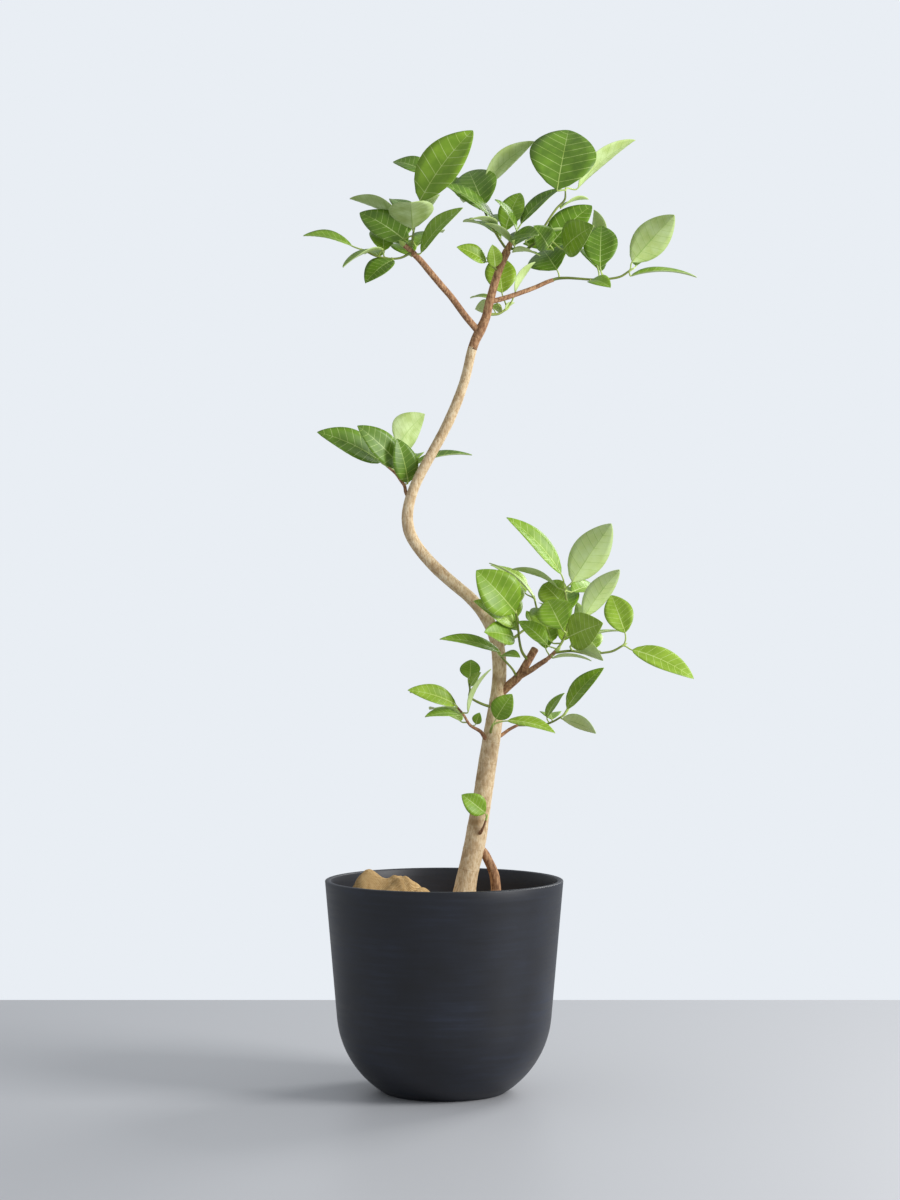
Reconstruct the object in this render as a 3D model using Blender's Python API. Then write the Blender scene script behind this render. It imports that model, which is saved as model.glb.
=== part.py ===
"""Potted council tree: a young broad-leaved fig with a winding stem, in a tall planter.

Sizes are in millimetres and MM turns them into Blender's metres. The origin is the middle of
the planter's flat underside, +Z is up, +X is to the right of someone who faces the plant,
and depth runs along +Y, away from them.

Limbs, twigs and leaves are listed as that person sees them from EYE: x and z are where a
point appears against the upright plane through the planter's axis, and depth is how far
behind that plane it lies. as_seen turns the three into a place.
"""
import math
import random
from typing import NamedTuple

import bmesh
import bpy
import numpy as np

MM = 0.001
GAP = 0.3
EYE = np.array((7.25, -3333.0, 613.0))
UP = np.array((0.0, 0.0, 1.0))

# Planter
RIM_RADIUS = 149.0
POT_HEIGHT = 264.0
POT_WALL = 7.0
SIDE_SLOPE = math.radians(5.0)
CURVE_RADIUS = 120.0
CURVE_HEIGHT = 103.0
FLOOR_HEIGHT = 9.0
LIP_CHAMFER = 1.2
POT_SIDES = 36
POT_ARC_POINTS = 6

# Soil and the jute cloth bunched on it
SOIL_TOP = 222.0
CLOTH_THICKNESS = 6.0
CLOTH_RADIUS = 136.5
CLOTH_HOLE_X = 42.0
CLOTH_HOLE = (42.0, 27.0)
CLOTH_SIDES = 32
CLOTH_RINGS = 7
# Each heap: x, y, height, spread
CLOTH_HEAPS = (
    (-98, 14, 50, 17), (-53, 8, 42, 18), (-25, -8, 22, 14), (-76, -38, 22, 22), (88, -8, 24, 14),
)

# Wood
STEP_ALONG = 18.0
STUB = 2.0
TRUNK_SIDES = 12
BOUGH_SIDES = 8
TWIG_SIDES = 6
PETIOLE_SIDES = 4
PETIOLE_RADIUS = 1.1
PETIOLE_STATIONS = (0.0, 0.55, 1.0)
PETIOLE_SINK = 0.1

# Leaf blades
BLADE_THICKNESS = 1.8
BLADE_FOLD = math.tan(math.radians(12.0))
BLADE_ARCH = 0.08
BLADE_STATIONS = (0.07, 0.27, 0.55, 0.82)

# Leaves on the far side of the crown, which grow by a rule
GOLDEN_ANGLE = math.pi * (3.0 - math.sqrt(5.0))
FAR_TRIES = 160
FAR_LENGTH = (54.0, 82.0)
FAR_SHAPE = 0.5
FAR_PETIOLE = 20.0
FAR_COVER = 7.0
FAR_COVERED = 0.93
LIMB_CLEARANCE = 5.0
LEAF_CLEARANCE = 5.0


class Station(NamedTuple):
    """A point of a limb's middle line."""
    x: float
    z: float
    depth: float
    diameter: float


class Leaf(NamedTuple):
    """One leaf as it is seen from the front."""
    x: float       # foot of the blade
    z: float
    depth: float
    angle: float   # way it points, in degrees anticlockwise from +X
    seen: float    # length that is seen
    away: float    # how far the tip lies behind the foot
    width: float
    face: float    # turn about the midrib: 0 shows the upper side, 180 the underside


class Mass(NamedTuple):
    """A mass of foliage: its limb, its twigs (the first is the stem) and its leaves."""
    name: str
    limbs: tuple
    twigs: tuple
    leaves: tuple
    shift: float = 0.0   # added to every depth
    lean: float = 0.0    # depth that is gained over the first LEAN_OVER from the root
    far: int = 0         # leaves that the rule adds on the far side


class Blade(NamedTuple):
    """A leaf blade in space."""
    foot: np.ndarray
    tip: np.ndarray
    up: np.ndarray
    width: float


LEAN_OVER = 60.0


# The winding stem, from the soil to the fork
TRUNK = (
    Station(22, 222.3, 0, 34), Station(26, 252, 0, 27.5), Station(39, 313, 2, 26),
    Station(49, 375, 4, 23.5), Station(59, 440, 6, 22.5), Station(66, 488, 8, 18.8),
    Station(69, 522, 8, 17.5), Station(64.5, 565, 6, 16.8), Station(45, 602, 2, 15),
    Station(0, 643.5, -4, 14.7), Station(-26, 670, -8, 14.4), Station(-43, 697, -12, 14.6),
    Station(-46, 716, -12, 14.2), Station(-39, 750, -10, 13), Station(-20, 788, -6, 12.5),
    Station(6.5, 838, 0, 12.6), Station(26, 889, 4, 12), Station(39, 938, 4, 12),
    Station(45.5, 951, 4, 13), Station(51, 963, 4, 11.5), Station(57.3, 988, 3, 10.8),
    Station(64.3, 1013, 2, 10), Station(73.5, 1038, 0, 10), Station(78.5, 1049, 0, 10.4),
)
# Heights at which the stem is parted into nodes
TRUNK_PARTS = (("trunk_lower", 585.0), ("trunk_middle", 705.0), ("trunk_upper", 964.0), ("leader", None))

AERIAL_ROOT = (
    Station(63.5, 222.3, 4, 13), Station(61.6, 273, 4, 12), Station(56, 285.5, 4, 11.5),
    Station(49.8, 296.8, 3, 11), Station(40, 306, 2, 11),
)
BOUGH_LEFT = (
    Station(43, 948, 4, 8.5), Station(39.8, 952, 3, 8.5), Station(27.3, 966.8, -4, 8.2),
    Station(9.8, 990.5, -18, 8), Station(-5.3, 1008, -30, 8), Station(-17.8, 1023, -40, 7.8),
    Station(-30.3, 1038, -50, 7.6), Station(-39, 1046.8, -55, 7.5),
)
BOUGH_RIGHT = (
    Station(57.3, 985.5, 3, 6.5), Station(76, 990.5, 8, 6.5), Station(94.8, 996.8, 16, 6),
    Station(113.5, 1003.6, 25, 5.6), Station(132.3, 1011.8, 33, 5.2), Station(136, 1013, 35, 5),
)
BOUGH_LOWER = (
    Station(66, 492, 8, 11), Station(79.8, 505.5, 5, 10.8), Station(93.5, 518, -4, 10.4),
    Station(103.5, 534.3, -9, 10), Station(113.5, 551.8, -12, 9.5),
)
BOUGH_LOWER_RIGHT = (
    Station(93.5, 516.8, -4, 7.5), Station(108.5, 525.5, -22, 7), Station(118, 532, -36, 6.5),
    Station(127.3, 538, -48, 6),
)


def twig(*stations):
    """A twig's stations, each written x, z, depth, diameter."""
    return tuple(Station(*row) for row in stations)


LEFT = Mass(
    "foliage_left", ("bough_left",), shift=-40, far=5,
    twigs=(
        twig((-36, 1044, -14, 6.4), (-43, 1050.5, -16, 6.4), (-50.3, 1056.8, -18, 6)),
        twig((-40, 1048, -16, 3.4), (-55, 1040.5, -22, 2.8), (-75, 1040.5, -28, 2.6),
             (-88, 1044, -30, 2.6), (-96, 1048, -30, 2.4)),
        twig((-41, 1049.5, -16, 3.6), (-40, 1062, -14, 2.8), (-37, 1080, -10, 2.6), (-32, 1100, -8, 2.4)),
    ),
    leaves=(
        Leaf(-30.3, 1111.8, -10, 53, 110, 15, 58, 30),
        Leaf(-39.6, 1076.8, -25, 94, 33, -70, 55, 180),
        Leaf(-45.3, 1059.3, -5, 148, 71, 20, 42, 30),
        Leaf(-47.8, 1080.5, 2, 154, 78, 25, 40, 112),
        Leaf(-20.3, 1145.5, 22, 161, 46, 20, 34, 55),
        Leaf(-29, 1046.8, -18, 47, 77, -20, 36, 60),
        Leaf(-35.3, 1080.5, 8, 53, 49, 25, 26, 130),
        Leaf(-41.5, 1043, 2, 140, 24, 48, 32, 40),
        Leaf(-115.3, 1055.5, -30, 168, 62, -10, 30, 70),
        Leaf(-77.8, 1051.8, -40, 205, 54, -25, 32, 84),
        Leaf(-64, 1038, -28, 220, 45, -22, 34, 45),
    ),
)
TOP = Mass(
    "foliage_top", ("leader",), far=5,
    twigs=(
        twig((76.5, 1045, 0, 8.6), (80, 1053, 0, 8), (84, 1061, 0, 6)),
        twig((78, 1051, 0, 3.4), (67.3, 1066.8, -3, 3), (57.3, 1084.3, -6, 2.8), (50.4, 1099.3, -8, 2.4)),
        twig((80, 1053, 0, 3.6), (99.8, 1050.5, -5, 3.4), (114.8, 1060.5, -10, 3.2),
             (127.3, 1083, -10, 3), (141, 1103, -9, 2.8), (151, 1114.3, -8, 2.6), (151.5, 1124.3, -8, 1.8)),
    ),
    leaves=(
        Leaf(49.8, 1105.5, -12, 114, 47, 50, 56, 5),
        Leaf(47.3, 1100.5, 4, 142, 66, 25, 38, 50),
        Leaf(63.5, 1086.8, -16, 146, 83, -30, 34, 68),
        Leaf(66, 1080.5, -16, 167, 36, -35, 24, 105),
        Leaf(51, 1133, 12, 41, 81, 25, 32, 140),
        Leaf(76, 1074.3, 2, 68, 51, 30, 32, 20),
        Leaf(91, 1073, -10, 124, 49, -18, 24, 72),
        Leaf(96, 1083, 0, 41, 68, 12, 30, 62),
        Leaf(82.3, 1063, -14, 10, 36, -42, 30, 62),
        Leaf(84.8, 1059.3, -12, 144, 42, -20, 18, 118),
        Leaf(141, 1125.5, -14, 79, 76, 55, 84, 4),
        Leaf(167.3, 1128, 12, 40, 93, 25, 40, 118),
        Leaf(129.8, 1053, 8, 44, 76, 20, 44, 28),
        Leaf(149.8, 1051.8, -22, 38, 47, -45, 46, 30),
        Leaf(129.8, 1054.3, -8, 124, 32, -35, 32, 20),
        Leaf(134.8, 1050.5, 6, 168, 37, 25, 26, 55),
        Leaf(86, 1048, -12, -8, 34, -30, 22, 100),
        Leaf(146, 1103, 4, 18, 36, 30, 20, 98),
    ),
)
TOP_BACK = Mass(
    "foliage_top_back", ("leader",), lean=12,
    twigs=(
        twig((54, 970, 4, 4), (60, 970, 12, 4), (67.3, 970.5, 16, 3.4), (76, 975.5, 20, 3)),
    ),
    leaves=(
        Leaf(72.3, 996.8, 22, 97, 46, 18, 40, 8),
        Leaf(88.5, 996.8, 22, 57, 46, 15, 20, 118),
        Leaf(58.5, 989.3, 20, 177, 26, 20, 16, 78),
        Leaf(58.5, 979.3, 18, 188, 20, 18, 20, 165),
        Leaf(72.3, 974.3, 16, 155, 15, 16, 12, 150),
        Leaf(76, 976.8, 18, 34, 14, 10, 8, 130),
    ),
)
TOP_SIDE = Mass(
    "foliage_top_side", ("leader",),
    twigs=(
        twig((67, 1024, 1, 3.4), (61, 1030.5, -8, 3), (56, 1036.8, -16, 2.6)),
    ),
    leaves=(
        Leaf(52.3, 1035.5, -16, 153, 41, -15, 24, 40),
        Leaf(63.5, 1029.3, -14, 97, 28, -12, 20, 15),
    ),
)
RIGHT = Mass(
    "foliage_right", ("bough_right",), shift=60, far=4,
    twigs=(
        twig((133, 1012, -26, 3.8), (140, 1014.5, -26, 3.8), (152.3, 1015.5, -27, 3.4),
             (182.3, 1013.6, -30, 3), (204.8, 1014.3, -32, 2.8), (222, 1018, -34, 2.8), (231, 1024, -35, 2.6)),
    ),
    leaves=(
        Leaf(141, 1025.5, -22, 125, 30, 50, 56, 5),
        Leaf(194.8, 1029.3, -36, 88, 51, 35, 44, 3),
        Leaf(187.3, 1050.5, -2, 90, 50, 15, 34, 125),
        Leaf(234.8, 1035.5, -34, 48, 79, -25, 44, 172),
        Leaf(233.5, 1018, -30, -1, 82, 12, 34, 82),
        Leaf(182.3, 1011.8, -34, -18, 27, -38, 24, 50),
    ),
)
MIDDLE = Mass(
    "foliage_middle", ("trunk_middle", "trunk_upper"), lean=16, far=3,
    twigs=(
        twig((-41.5, 736, -11, 5), (-48, 748, -8, 4.6), (-49.5, 755.5, -4, 4.2),
             (-54, 761.8, 0, 3.8), (-60.3, 770.5, 6, 3.4), (-70, 779, 12, 3)),
    ),
    leaves=(
        Leaf(-79, 785.5, 6, 155, 88, -25, 42, 40),
        Leaf(-55.3, 779.3, -4, 136, 74, -30, 38, 28),
        Leaf(-57.8, 805.5, 14, 50, 52, 45, 46, 150),
        Leaf(-42.8, 779.3, 18, 11, 79, 15, 30, 76),
        Leaf(-45.3, 759.3, -2, 104, 57, -15, 34, 22),
    ),
)
LOWER_TIP = Mass(
    "foliage_lower_tip", ("bough_lower",), lean=-10, far=2,
    twigs=(
        twig((105, 537, -10, 4), (97, 549, -18, 3.6), (94, 561.8, -21, 3.2), (92.3, 579.3, -23, 2.9),
             (89.8, 596.8, -25, 2.6)),
    ),
    leaves=(
        Leaf(88.5, 598, -28, 133, 71, -22, 54, 15),
        Leaf(88.5, 579.3, -20, 148, 61, -18, 32, 45),
        Leaf(87.3, 565.5, -24, 169, 38, -32, 34, 35),
        Leaf(91, 575.5, -16, 133, 36, 8, 24, 30),
    ),
)
LOWER_INNER = Mass(
    "foliage_lower_inner", ("bough_lower",), lean=-6,
    twigs=(
        twig((91, 516, -3, 3.4), (85, 527, -14, 3), (77, 536, -19, 2.8), (69.8, 544.3, -22, 2.6)),
    ),
    leaves=(
        Leaf(69.8, 548, -24, 168, 77, -12, 24, 55),
        Leaf(71, 543, -24, -4, 24, -22, 18, 60),
    ),
)
LOWER_BACK = Mass(
    "foliage_lower_back", ("trunk_lower",), lean=30, far=2,
    twigs=(
        twig((66, 551, 7, 3.5), (79.8, 560.5, 14, 3.3), (94.8, 571.8, 20, 3), (108.5, 583, 25, 2.8),
             (116, 595.5, 28, 2.6), (113.5, 611.8, 30, 2.4)),
    ),
    leaves=(
        Leaf(112.3, 615.5, 30, 142, 71, 20, 24, 84),
        Leaf(108.5, 586.8, 22, 115, 14, 0, 10, 20),
    ),
)
LOWER_RIGHT = Mass(
    "foliage_lower_right", ("bough_lower_right",), shift=-26, far=6,
    twigs=(
        twig((124, 536, -20, 5), (131, 541, -23, 5), (139.8, 549.3, -25, 4.6)),
        twig((137, 547, -25, 3.4), (158.5, 549.3, -24, 3.2), (182.3, 545.5, -20, 3), (197.3, 546.8, -18, 2.8),
             (211, 549.3, -16, 2.8), (222.3, 555.5, -15, 2.6)),
        twig((138, 547.5, -25, 3.4), (147.3, 560.5, -22, 3.2), (152.3, 571.8, -18, 3), (154.8, 588, -12, 2.8),
             (153.5, 606.8, -6, 2.6), (151, 623, 0, 2.4)),
    ),
    leaves=(
        Leaf(128.5, 556.8, -20, 140, 46, 12, 26, 38),
        Leaf(146, 645.5, -10, 134, 98, -12, 32, 48),
        Leaf(142.3, 628, 6, 158, 62, 35, 24, 108),
        Leaf(159.8, 623, 8, 4, 36, 50, 36, 60),
        Leaf(148.5, 608, 2, 135, 35, 30, 38, 12),
        Leaf(147.3, 576.8, -36, 117, 40, 32, 46, 8),
        Leaf(159.8, 635.5, -10, 56, 88, -20, 46, 172),
        Leaf(174.8, 591.8, -32, 53, 74, -25, 32, 155),
        Leaf(168.5, 583, -2, 97, 28, 25, 18, 150),
        Leaf(156, 566.8, -34, 22, 46, -42, 46, 12),
        Leaf(147.3, 561.8, -12, 60, 30, 28, 28, 20),
        Leaf(226, 571.8, -16, 110, 50, 25, 36, 8),
        Leaf(234.8, 550.5, -18, -25, 85, -20, 34, 40),
        Leaf(158.5, 555.5, -36, -24, 44, -30, 30, 125),
        Leaf(136, 540.5, -32, -4, 48, -18, 18, 100),
    ),
)
LOW_LEFT = Mass(
    "foliage_low_left", ("trunk_lower",), lean=-25, far=2,
    twigs=(
        twig((58, 437, 5, 6), (52.3, 439.5, 2, 5.6), (46, 448, -2, 4.6), (32.3, 456.8, -6, 3.6),
             (23.5, 470.5, -8, 3), (16, 479.3, -8, 2.6)),
    ),
    leaves=(
        Leaf(14.8, 481.8, -6, 163, 63, -18, 30, 42),
        Leaf(21, 469.3, -10, 183, 45, -16, 22, 60),
        Leaf(29.8, 473, -16, 62, 61, -12, 18, 108),
        Leaf(39.8, 458, -8, 72, 15, -5, 13, 15),
    ),
)
LOW_TWIG = Mass(
    "foliage_low_twig", ("trunk_lower",),
    twigs=(
        twig((64, 479, 7, 3.5), (54.8, 480.5, 2, 3.5), (37.3, 488, -2, 3), (31.6, 491.8, -3, 2.8),
             (32.3, 500.5, -4, 2.6), (31, 509.3, -4, 2.4)),
    ),
    leaves=(
        Leaf(32.3, 514.3, -2, 87, 24, 10, 26, 8),
        Leaf(33.5, 505.5, -6, 54, 21, -8, 15, 50),
    ),
)
LOW_FRONT = Mass(
    "foliage_low_front", ("trunk_lower",),
    twigs=(
        twig((59, 446, 4, 4), (58, 449, -8, 3.4), (60, 455, -16, 3)),
    ),
    leaves=(
        Leaf(64.8, 464.3, -20, 57, 37, -8, 29, 12),
        Leaf(78.5, 461.8, -24, -14, 62, -18, 24, 55),
    ),
)
LOW_RIGHT = Mass(
    "foliage_low_right", ("trunk_lower",), lean=26, far=2,
    twigs=(
        twig((60, 438, 6, 5), (69.8, 443, 6, 4.5), (82.3, 451.8, 4, 4), (92.3, 456.8, 2, 3.6),
             (104.8, 463, 0, 3.2)),
        twig((91, 456.5, 2, 3.2), (113.5, 456.8, -2, 2.8), (126, 457.4, -4, 2.6), (136, 461, -6, 2.6),
             (146, 466.8, -8, 2.4)),
    ),
    leaves=(
        Leaf(153.5, 476.8, -10, 48, 69, -8, 30, 45),
        Leaf(128.5, 465.5, -2, 55, 38, 14, 20, 58),
        Leaf(147.3, 464.3, -14, -23, 46, -22, 26, 130),
    ),
)
TRUNK_SPRIG = Mass(
    "foliage_trunk_sprig", ("trunk_lower",),
    twigs=(
        twig((42, 322, 2, 5), (45, 322, -10, 4.4), (49, 329, -15, 3), (52, 338, -17, 2.4)),
    ),
    leaves=(
        Leaf(51, 346.8, -20, 142, 37, -6, 27, 10),
    ),
)
MASSES = (
    LEFT, TOP, TOP_BACK, TOP_SIDE, RIGHT, MIDDLE, LOWER_TIP, LOWER_INNER, LOWER_BACK, LOWER_RIGHT,
    LOW_LEFT, LOW_TWIG, LOW_FRONT, LOW_RIGHT, TRUNK_SPRIG,
)


# Places and directions

def unit(vector):
    return vector / np.linalg.norm(vector)


def as_seen(x, z, depth):
    """Place of what appears at x, z in the plane of the planter's axis and lies depth behind it."""
    farther = 1.0 - depth / EYE[1]
    return np.array((EYE[0] + (x - EYE[0]) * farther, depth, EYE[2] + (z - EYE[2]) * farther))


def route_through(stations):
    """Points about STEP_ALONG apart on a smooth curve through the stations, each x, y, z, radius.

    The curve is a cubic between each two stations, and its slope at a station is that of the
    parabola through the station and its two neighbours.
    """
    knots = np.array([(*as_seen(s.x, s.z, s.depth), s.diameter / 2) for s in stations])
    spans = np.linalg.norm(np.diff(knots[:, :3], axis=0), axis=1)
    chords = np.diff(knots, axis=0) / spans[:, None]
    slopes = np.vstack((chords[:1], chords))
    weight = (spans[:-1] / (spans[:-1] + spans[1:]))[:, None]
    slopes[1:-1] = chords[:-1] * (1 - weight) + chords[1:] * weight
    points = [knots[0]]
    for start, end, leave, arrive, span in zip(knots[:-1], knots[1:], slopes[:-1], slopes[1:], spans):
        count = max(1, round(span / STEP_ALONG))
        for t in np.arange(1, count + 1) / count:
            points.append(start * (1 + 2 * t) * (1 - t) ** 2 + end * t * t * (3 - 2 * t)
                          + span * (leave * t * (1 - t) ** 2 + arrive * t * t * (t - 1)))
    return np.array(points)


def part_route(route, height):
    """The route below and above a height, parted by a flat gap across it."""
    after = int(np.argmax(route[:, 2] > height))
    share = (height - route[after - 1, 2]) / (route[after, 2] - route[after - 1, 2])
    middle = route[after - 1] * (1 - share) + route[after] * share
    along = unit(route[after] - route[after - 1])
    near = np.linalg.norm(route[:, :3] - middle[:3], axis=1) < 2 * STUB
    ends = [middle + along * shift for shift in (-STUB, -GAP / 2, GAP / 2, STUB)]
    below = [point for point, skip in zip(route[:after], near[:after]) if not skip]
    above = [point for point, skip in zip(route[after:], near[after:]) if not skip]
    return np.array(below + ends[:2]), np.array(ends[2:] + above)


def planted(route):
    """The route begun just above the soil and upright, so that its cut there is level."""
    foot = route[0].copy()
    foot[2] = SOIL_TOP + GAP
    return np.vstack((foot, foot + np.array((0, 0, STUB, 0)), route[1:]))


def swollen(route, by):
    """A route whose tube is wider and longer by the given amount all round."""
    wider = route + np.array((0, 0, 0, by))
    wider[0, :3] -= unit(route[1, :3] - route[0, :3]) * by
    wider[-1, :3] += unit(route[-1, :3] - route[-2, :3]) * by
    return wider


# Solids

def material(name, colour, roughness):
    made = bpy.data.materials.new(name)
    made.use_nodes = True
    shader = made.node_tree.nodes["Principled BSDF"]
    shader.inputs["Base Color"].default_value = (*colour, 1.0)
    shader.inputs["Roughness"].default_value = roughness
    shader.inputs["Metallic"].default_value = 0.0
    return made


def object_from(name, bm, group=None):
    """A mesh object from a bmesh whose corners are in millimetres."""
    bmesh.ops.scale(bm, vec=(MM, MM, MM), verts=bm.verts)
    bmesh.ops.remove_doubles(bm, verts=bm.verts, dist=1e-7)
    bmesh.ops.recalc_face_normals(bm, faces=bm.faces)
    mesh = bpy.data.meshes.new(name)
    bm.to_mesh(mesh)
    bm.free()
    made = bpy.data.objects.new(name, mesh)
    (group or bpy.context.scene.collection).objects.link(made)
    return made


def tube(name, route, sides, group=None):
    """A round solid along a route of x, y, z, radius, with flat ends."""
    curve = bpy.data.curves.new(name, "CURVE")
    curve.dimensions = "3D"
    curve.twist_mode = "MINIMUM"
    curve.bevel_depth = 1.0
    curve.bevel_resolution = (sides - 4) // 2
    curve.use_fill_caps = True
    spline = curve.splines.new("POLY")
    spline.points.add(len(route) - 1)
    for point, (x, y, z, radius) in zip(spline.points, route):
        point.co = (x, y, z, 1.0)
        point.radius = radius
    guide = bpy.data.objects.new(name, curve)
    bpy.context.scene.collection.objects.link(guide)
    bpy.context.view_layer.update()
    mesh = bpy.data.meshes.new_from_object(guide)
    bm = bmesh.new()
    bm.from_mesh(mesh)
    bpy.data.objects.remove(guide)
    bpy.data.curves.remove(curve)
    bpy.data.meshes.remove(mesh)
    bmesh.ops.remove_doubles(bm, verts=bm.verts, dist=1e-4)
    return object_from(name, bm, group)


def apply_boolean(target, operation, other=None, group=None):
    """Join or cut the target for good, by one object or by a collection of them."""
    boolean = target.modifiers.new(operation.lower(), "BOOLEAN")
    boolean.operation = operation
    boolean.solver = "EXACT"
    if group:
        boolean.operand_type = "COLLECTION"
        boolean.collection = group
    else:
        boolean.object = other
    bpy.context.view_layer.update()
    evaluated = target.evaluated_get(bpy.context.evaluated_depsgraph_get())
    mesh = bpy.data.meshes.new_from_object(evaluated)
    target.modifiers.clear()
    target.data = mesh


def carve(target, routes, sides):
    """Cut the target clear of the limbs that run along the given routes."""
    for route in routes:
        cutter = tube("cutter", swollen(route, GAP), sides)
        apply_boolean(target, "DIFFERENCE", other=cutter)
        bpy.data.objects.remove(cutter)


def keep_whole(target):
    """Keep the target's largest body and drop loose scraps that a cut leaves."""
    bm = bmesh.new()
    bm.from_mesh(target.data)
    bmesh.ops.dissolve_degenerate(bm, edges=bm.edges, dist=1e-6)
    bmesh.ops.remove_doubles(bm, verts=bm.verts, dist=1e-6)
    left = set(bm.verts)
    bodies = []
    while left:
        body = {left.pop()}
        edge = list(body)
        while edge:
            vert = edge.pop()
            for link in vert.link_edges:
                other = link.other_vert(vert)
                if other not in body:
                    body.add(other)
                    edge.append(other)
        left -= body
        bodies.append(body)
    largest = max(bodies, key=len)
    bmesh.ops.delete(bm, geom=[vert for vert in bm.verts if vert not in largest], context="VERTS")
    bmesh.ops.triangulate(bm, faces=[face for face in bm.faces if len(face.verts) > 4])
    bm.to_mesh(target.data)
    bm.free()


def finish(target, finish_material, smooth_below=40.0):
    target.data.materials.clear()
    target.data.materials.append(finish_material)
    target.data.shade_smooth()
    target.data.set_sharp_from_angle(angle=math.radians(smooth_below))
    return target


# Planter, soil and cloth

def pot_side(inset):
    """Profile of the planter's side from its foot to the rim, moved in by inset, as radius, height.

    The straight side leans out by SIDE_SLOPE, and an arc that touches it turns in to the foot.
    """
    line_radius = RIM_RADIUS - (POT_HEIGHT - CURVE_HEIGHT) * math.tan(SIDE_SLOPE)
    centre = line_radius - CURVE_RADIUS / math.cos(SIDE_SLOPE)
    radius = CURVE_RADIUS - inset
    foot = 0.0 if inset == 0 else FLOOR_HEIGHT + (inset - POT_WALL)
    start = -math.asin((CURVE_HEIGHT - foot) / radius)
    angles = np.linspace(start, -SIDE_SLOPE, POT_ARC_POINTS)
    arc = [(centre + radius * math.cos(a), CURVE_HEIGHT + radius * math.sin(a)) for a in angles]
    return arc, lambda height: (RIM_RADIUS - (POT_HEIGHT - height) * math.tan(SIDE_SLOPE)
                                - inset / math.cos(SIDE_SLOPE))


def turned(name, profile, sides):
    """A solid turned about Z from a profile of radius, height that starts and ends on the axis."""
    bm = bmesh.new()
    verts = [bm.verts.new((radius, 0.0, height)) for radius, height in profile]
    edges = [bm.edges.new(pair) for pair in zip(verts[:-1], verts[1:])]
    bmesh.ops.spin(bm, geom=verts + edges, cent=(0, 0, 0), axis=(0, 0, 1), angle=2 * math.pi, steps=sides,
                   use_duplicate=False)
    bmesh.ops.remove_doubles(bm, verts=bm.verts, dist=0.01)
    return object_from(name, bm)


def build_pot():
    outside, outside_radius = pot_side(0.0)
    inside, inside_radius = pot_side(POT_WALL)
    lip = POT_HEIGHT - LIP_CHAMFER
    rim = [(outside_radius(lip), lip), (outside_radius(lip) - LIP_CHAMFER, POT_HEIGHT),
           (inside_radius(lip) + LIP_CHAMFER, POT_HEIGHT), (inside_radius(lip), lip)]
    profile = [(0.0, 0.0), *outside, *rim, *reversed(inside), (0.0, FLOOR_HEIGHT)]
    return turned("pot", profile, POT_SIDES)


def build_soil():
    side, side_radius = pot_side(POT_WALL + GAP)
    profile = [(0.0, side[0][1]), *side, (side_radius(SOIL_TOP), SOIL_TOP), (0.0, SOIL_TOP)]
    return turned("soil", profile, POT_SIDES)


def cloth_rise(x, y):
    """Height of the cloth's heaps above its flat part, each a smooth bell."""
    return sum(height * math.exp(-((x - cx) ** 2 + (y - cy) ** 2) / (2 * spread ** 2))
               for cx, cy, height, spread in CLOTH_HEAPS)


def build_cloth():
    """The cloth as a ring on the soil, open round the stem, with its heaps on top."""
    floor = SOIL_TOP + GAP
    bm = bmesh.new()
    rings = []
    for ring in range(CLOTH_RINGS + 1):
        out = ring / CLOTH_RINGS
        row = []
        for side in range(CLOTH_SIDES):
            turn = 2 * math.pi * side / CLOTH_SIDES
            x = (1 - out) * (CLOTH_HOLE_X + CLOTH_HOLE[0] * math.cos(turn)) + out * CLOTH_RADIUS * math.cos(turn)
            y = (1 - out) * CLOTH_HOLE[1] * math.sin(turn) + out * CLOTH_RADIUS * math.sin(turn)
            row.append(bm.verts.new((x, y, floor + CLOTH_THICKNESS + cloth_rise(x, y))))
        rings.append(row)
    under = [[bm.verts.new((vert.co.x, vert.co.y, floor)) for vert in row] for row in (rings[-1], rings[0])]
    rings += under
    for lower, upper in zip(rings, rings[1:] + rings[:1]):
        for side in range(CLOTH_SIDES):
            after = (side + 1) % CLOTH_SIDES
            bm.faces.new((lower[side], lower[after], upper[after], upper[side]))
    return object_from("cover_cloth", bm)


# Leaves

def blade_of(leaf, extra_depth):
    """The blade that is seen as the row says, turned about its midrib by face from the viewer."""
    angle = math.radians(leaf.angle)
    depth = leaf.depth + extra_depth
    foot = as_seen(leaf.x, leaf.z, depth)
    tip = as_seen(leaf.x + leaf.seen * math.cos(angle), leaf.z + leaf.seen * math.sin(angle), depth + leaf.away)
    along = unit(tip - foot)
    to_eye = EYE - foot
    to_eye = unit(to_eye - along * np.dot(to_eye, along))
    skyward = np.cross(along, to_eye)
    if skyward[2] < 0:
        skyward = -skyward
    turn = math.radians(leaf.face)
    return Blade(foot, tip, to_eye * math.cos(turn) + skyward * math.sin(turn), leaf.width)


def blade_half_width(t, width):
    """Half the blade's width at t of its length: rounded at the foot, widest before the middle."""
    return width / 2 * np.sin(math.pi * np.power(t, 0.85)) ** 0.75


def blade_point(blade, t, across):
    """Point of the blade's middle surface, at t of its length and across from -1 to 1."""
    chord = blade.tip - blade.foot
    side = np.cross(unit(chord), blade.up)
    lift = np.linalg.norm(chord) * BLADE_ARCH * 4 * t * (1 - t)
    half = blade_half_width(t, blade.width)
    return (blade.foot + chord * t + side * half * across
            + blade.up * (lift + half * abs(across) * BLADE_FOLD))


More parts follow.
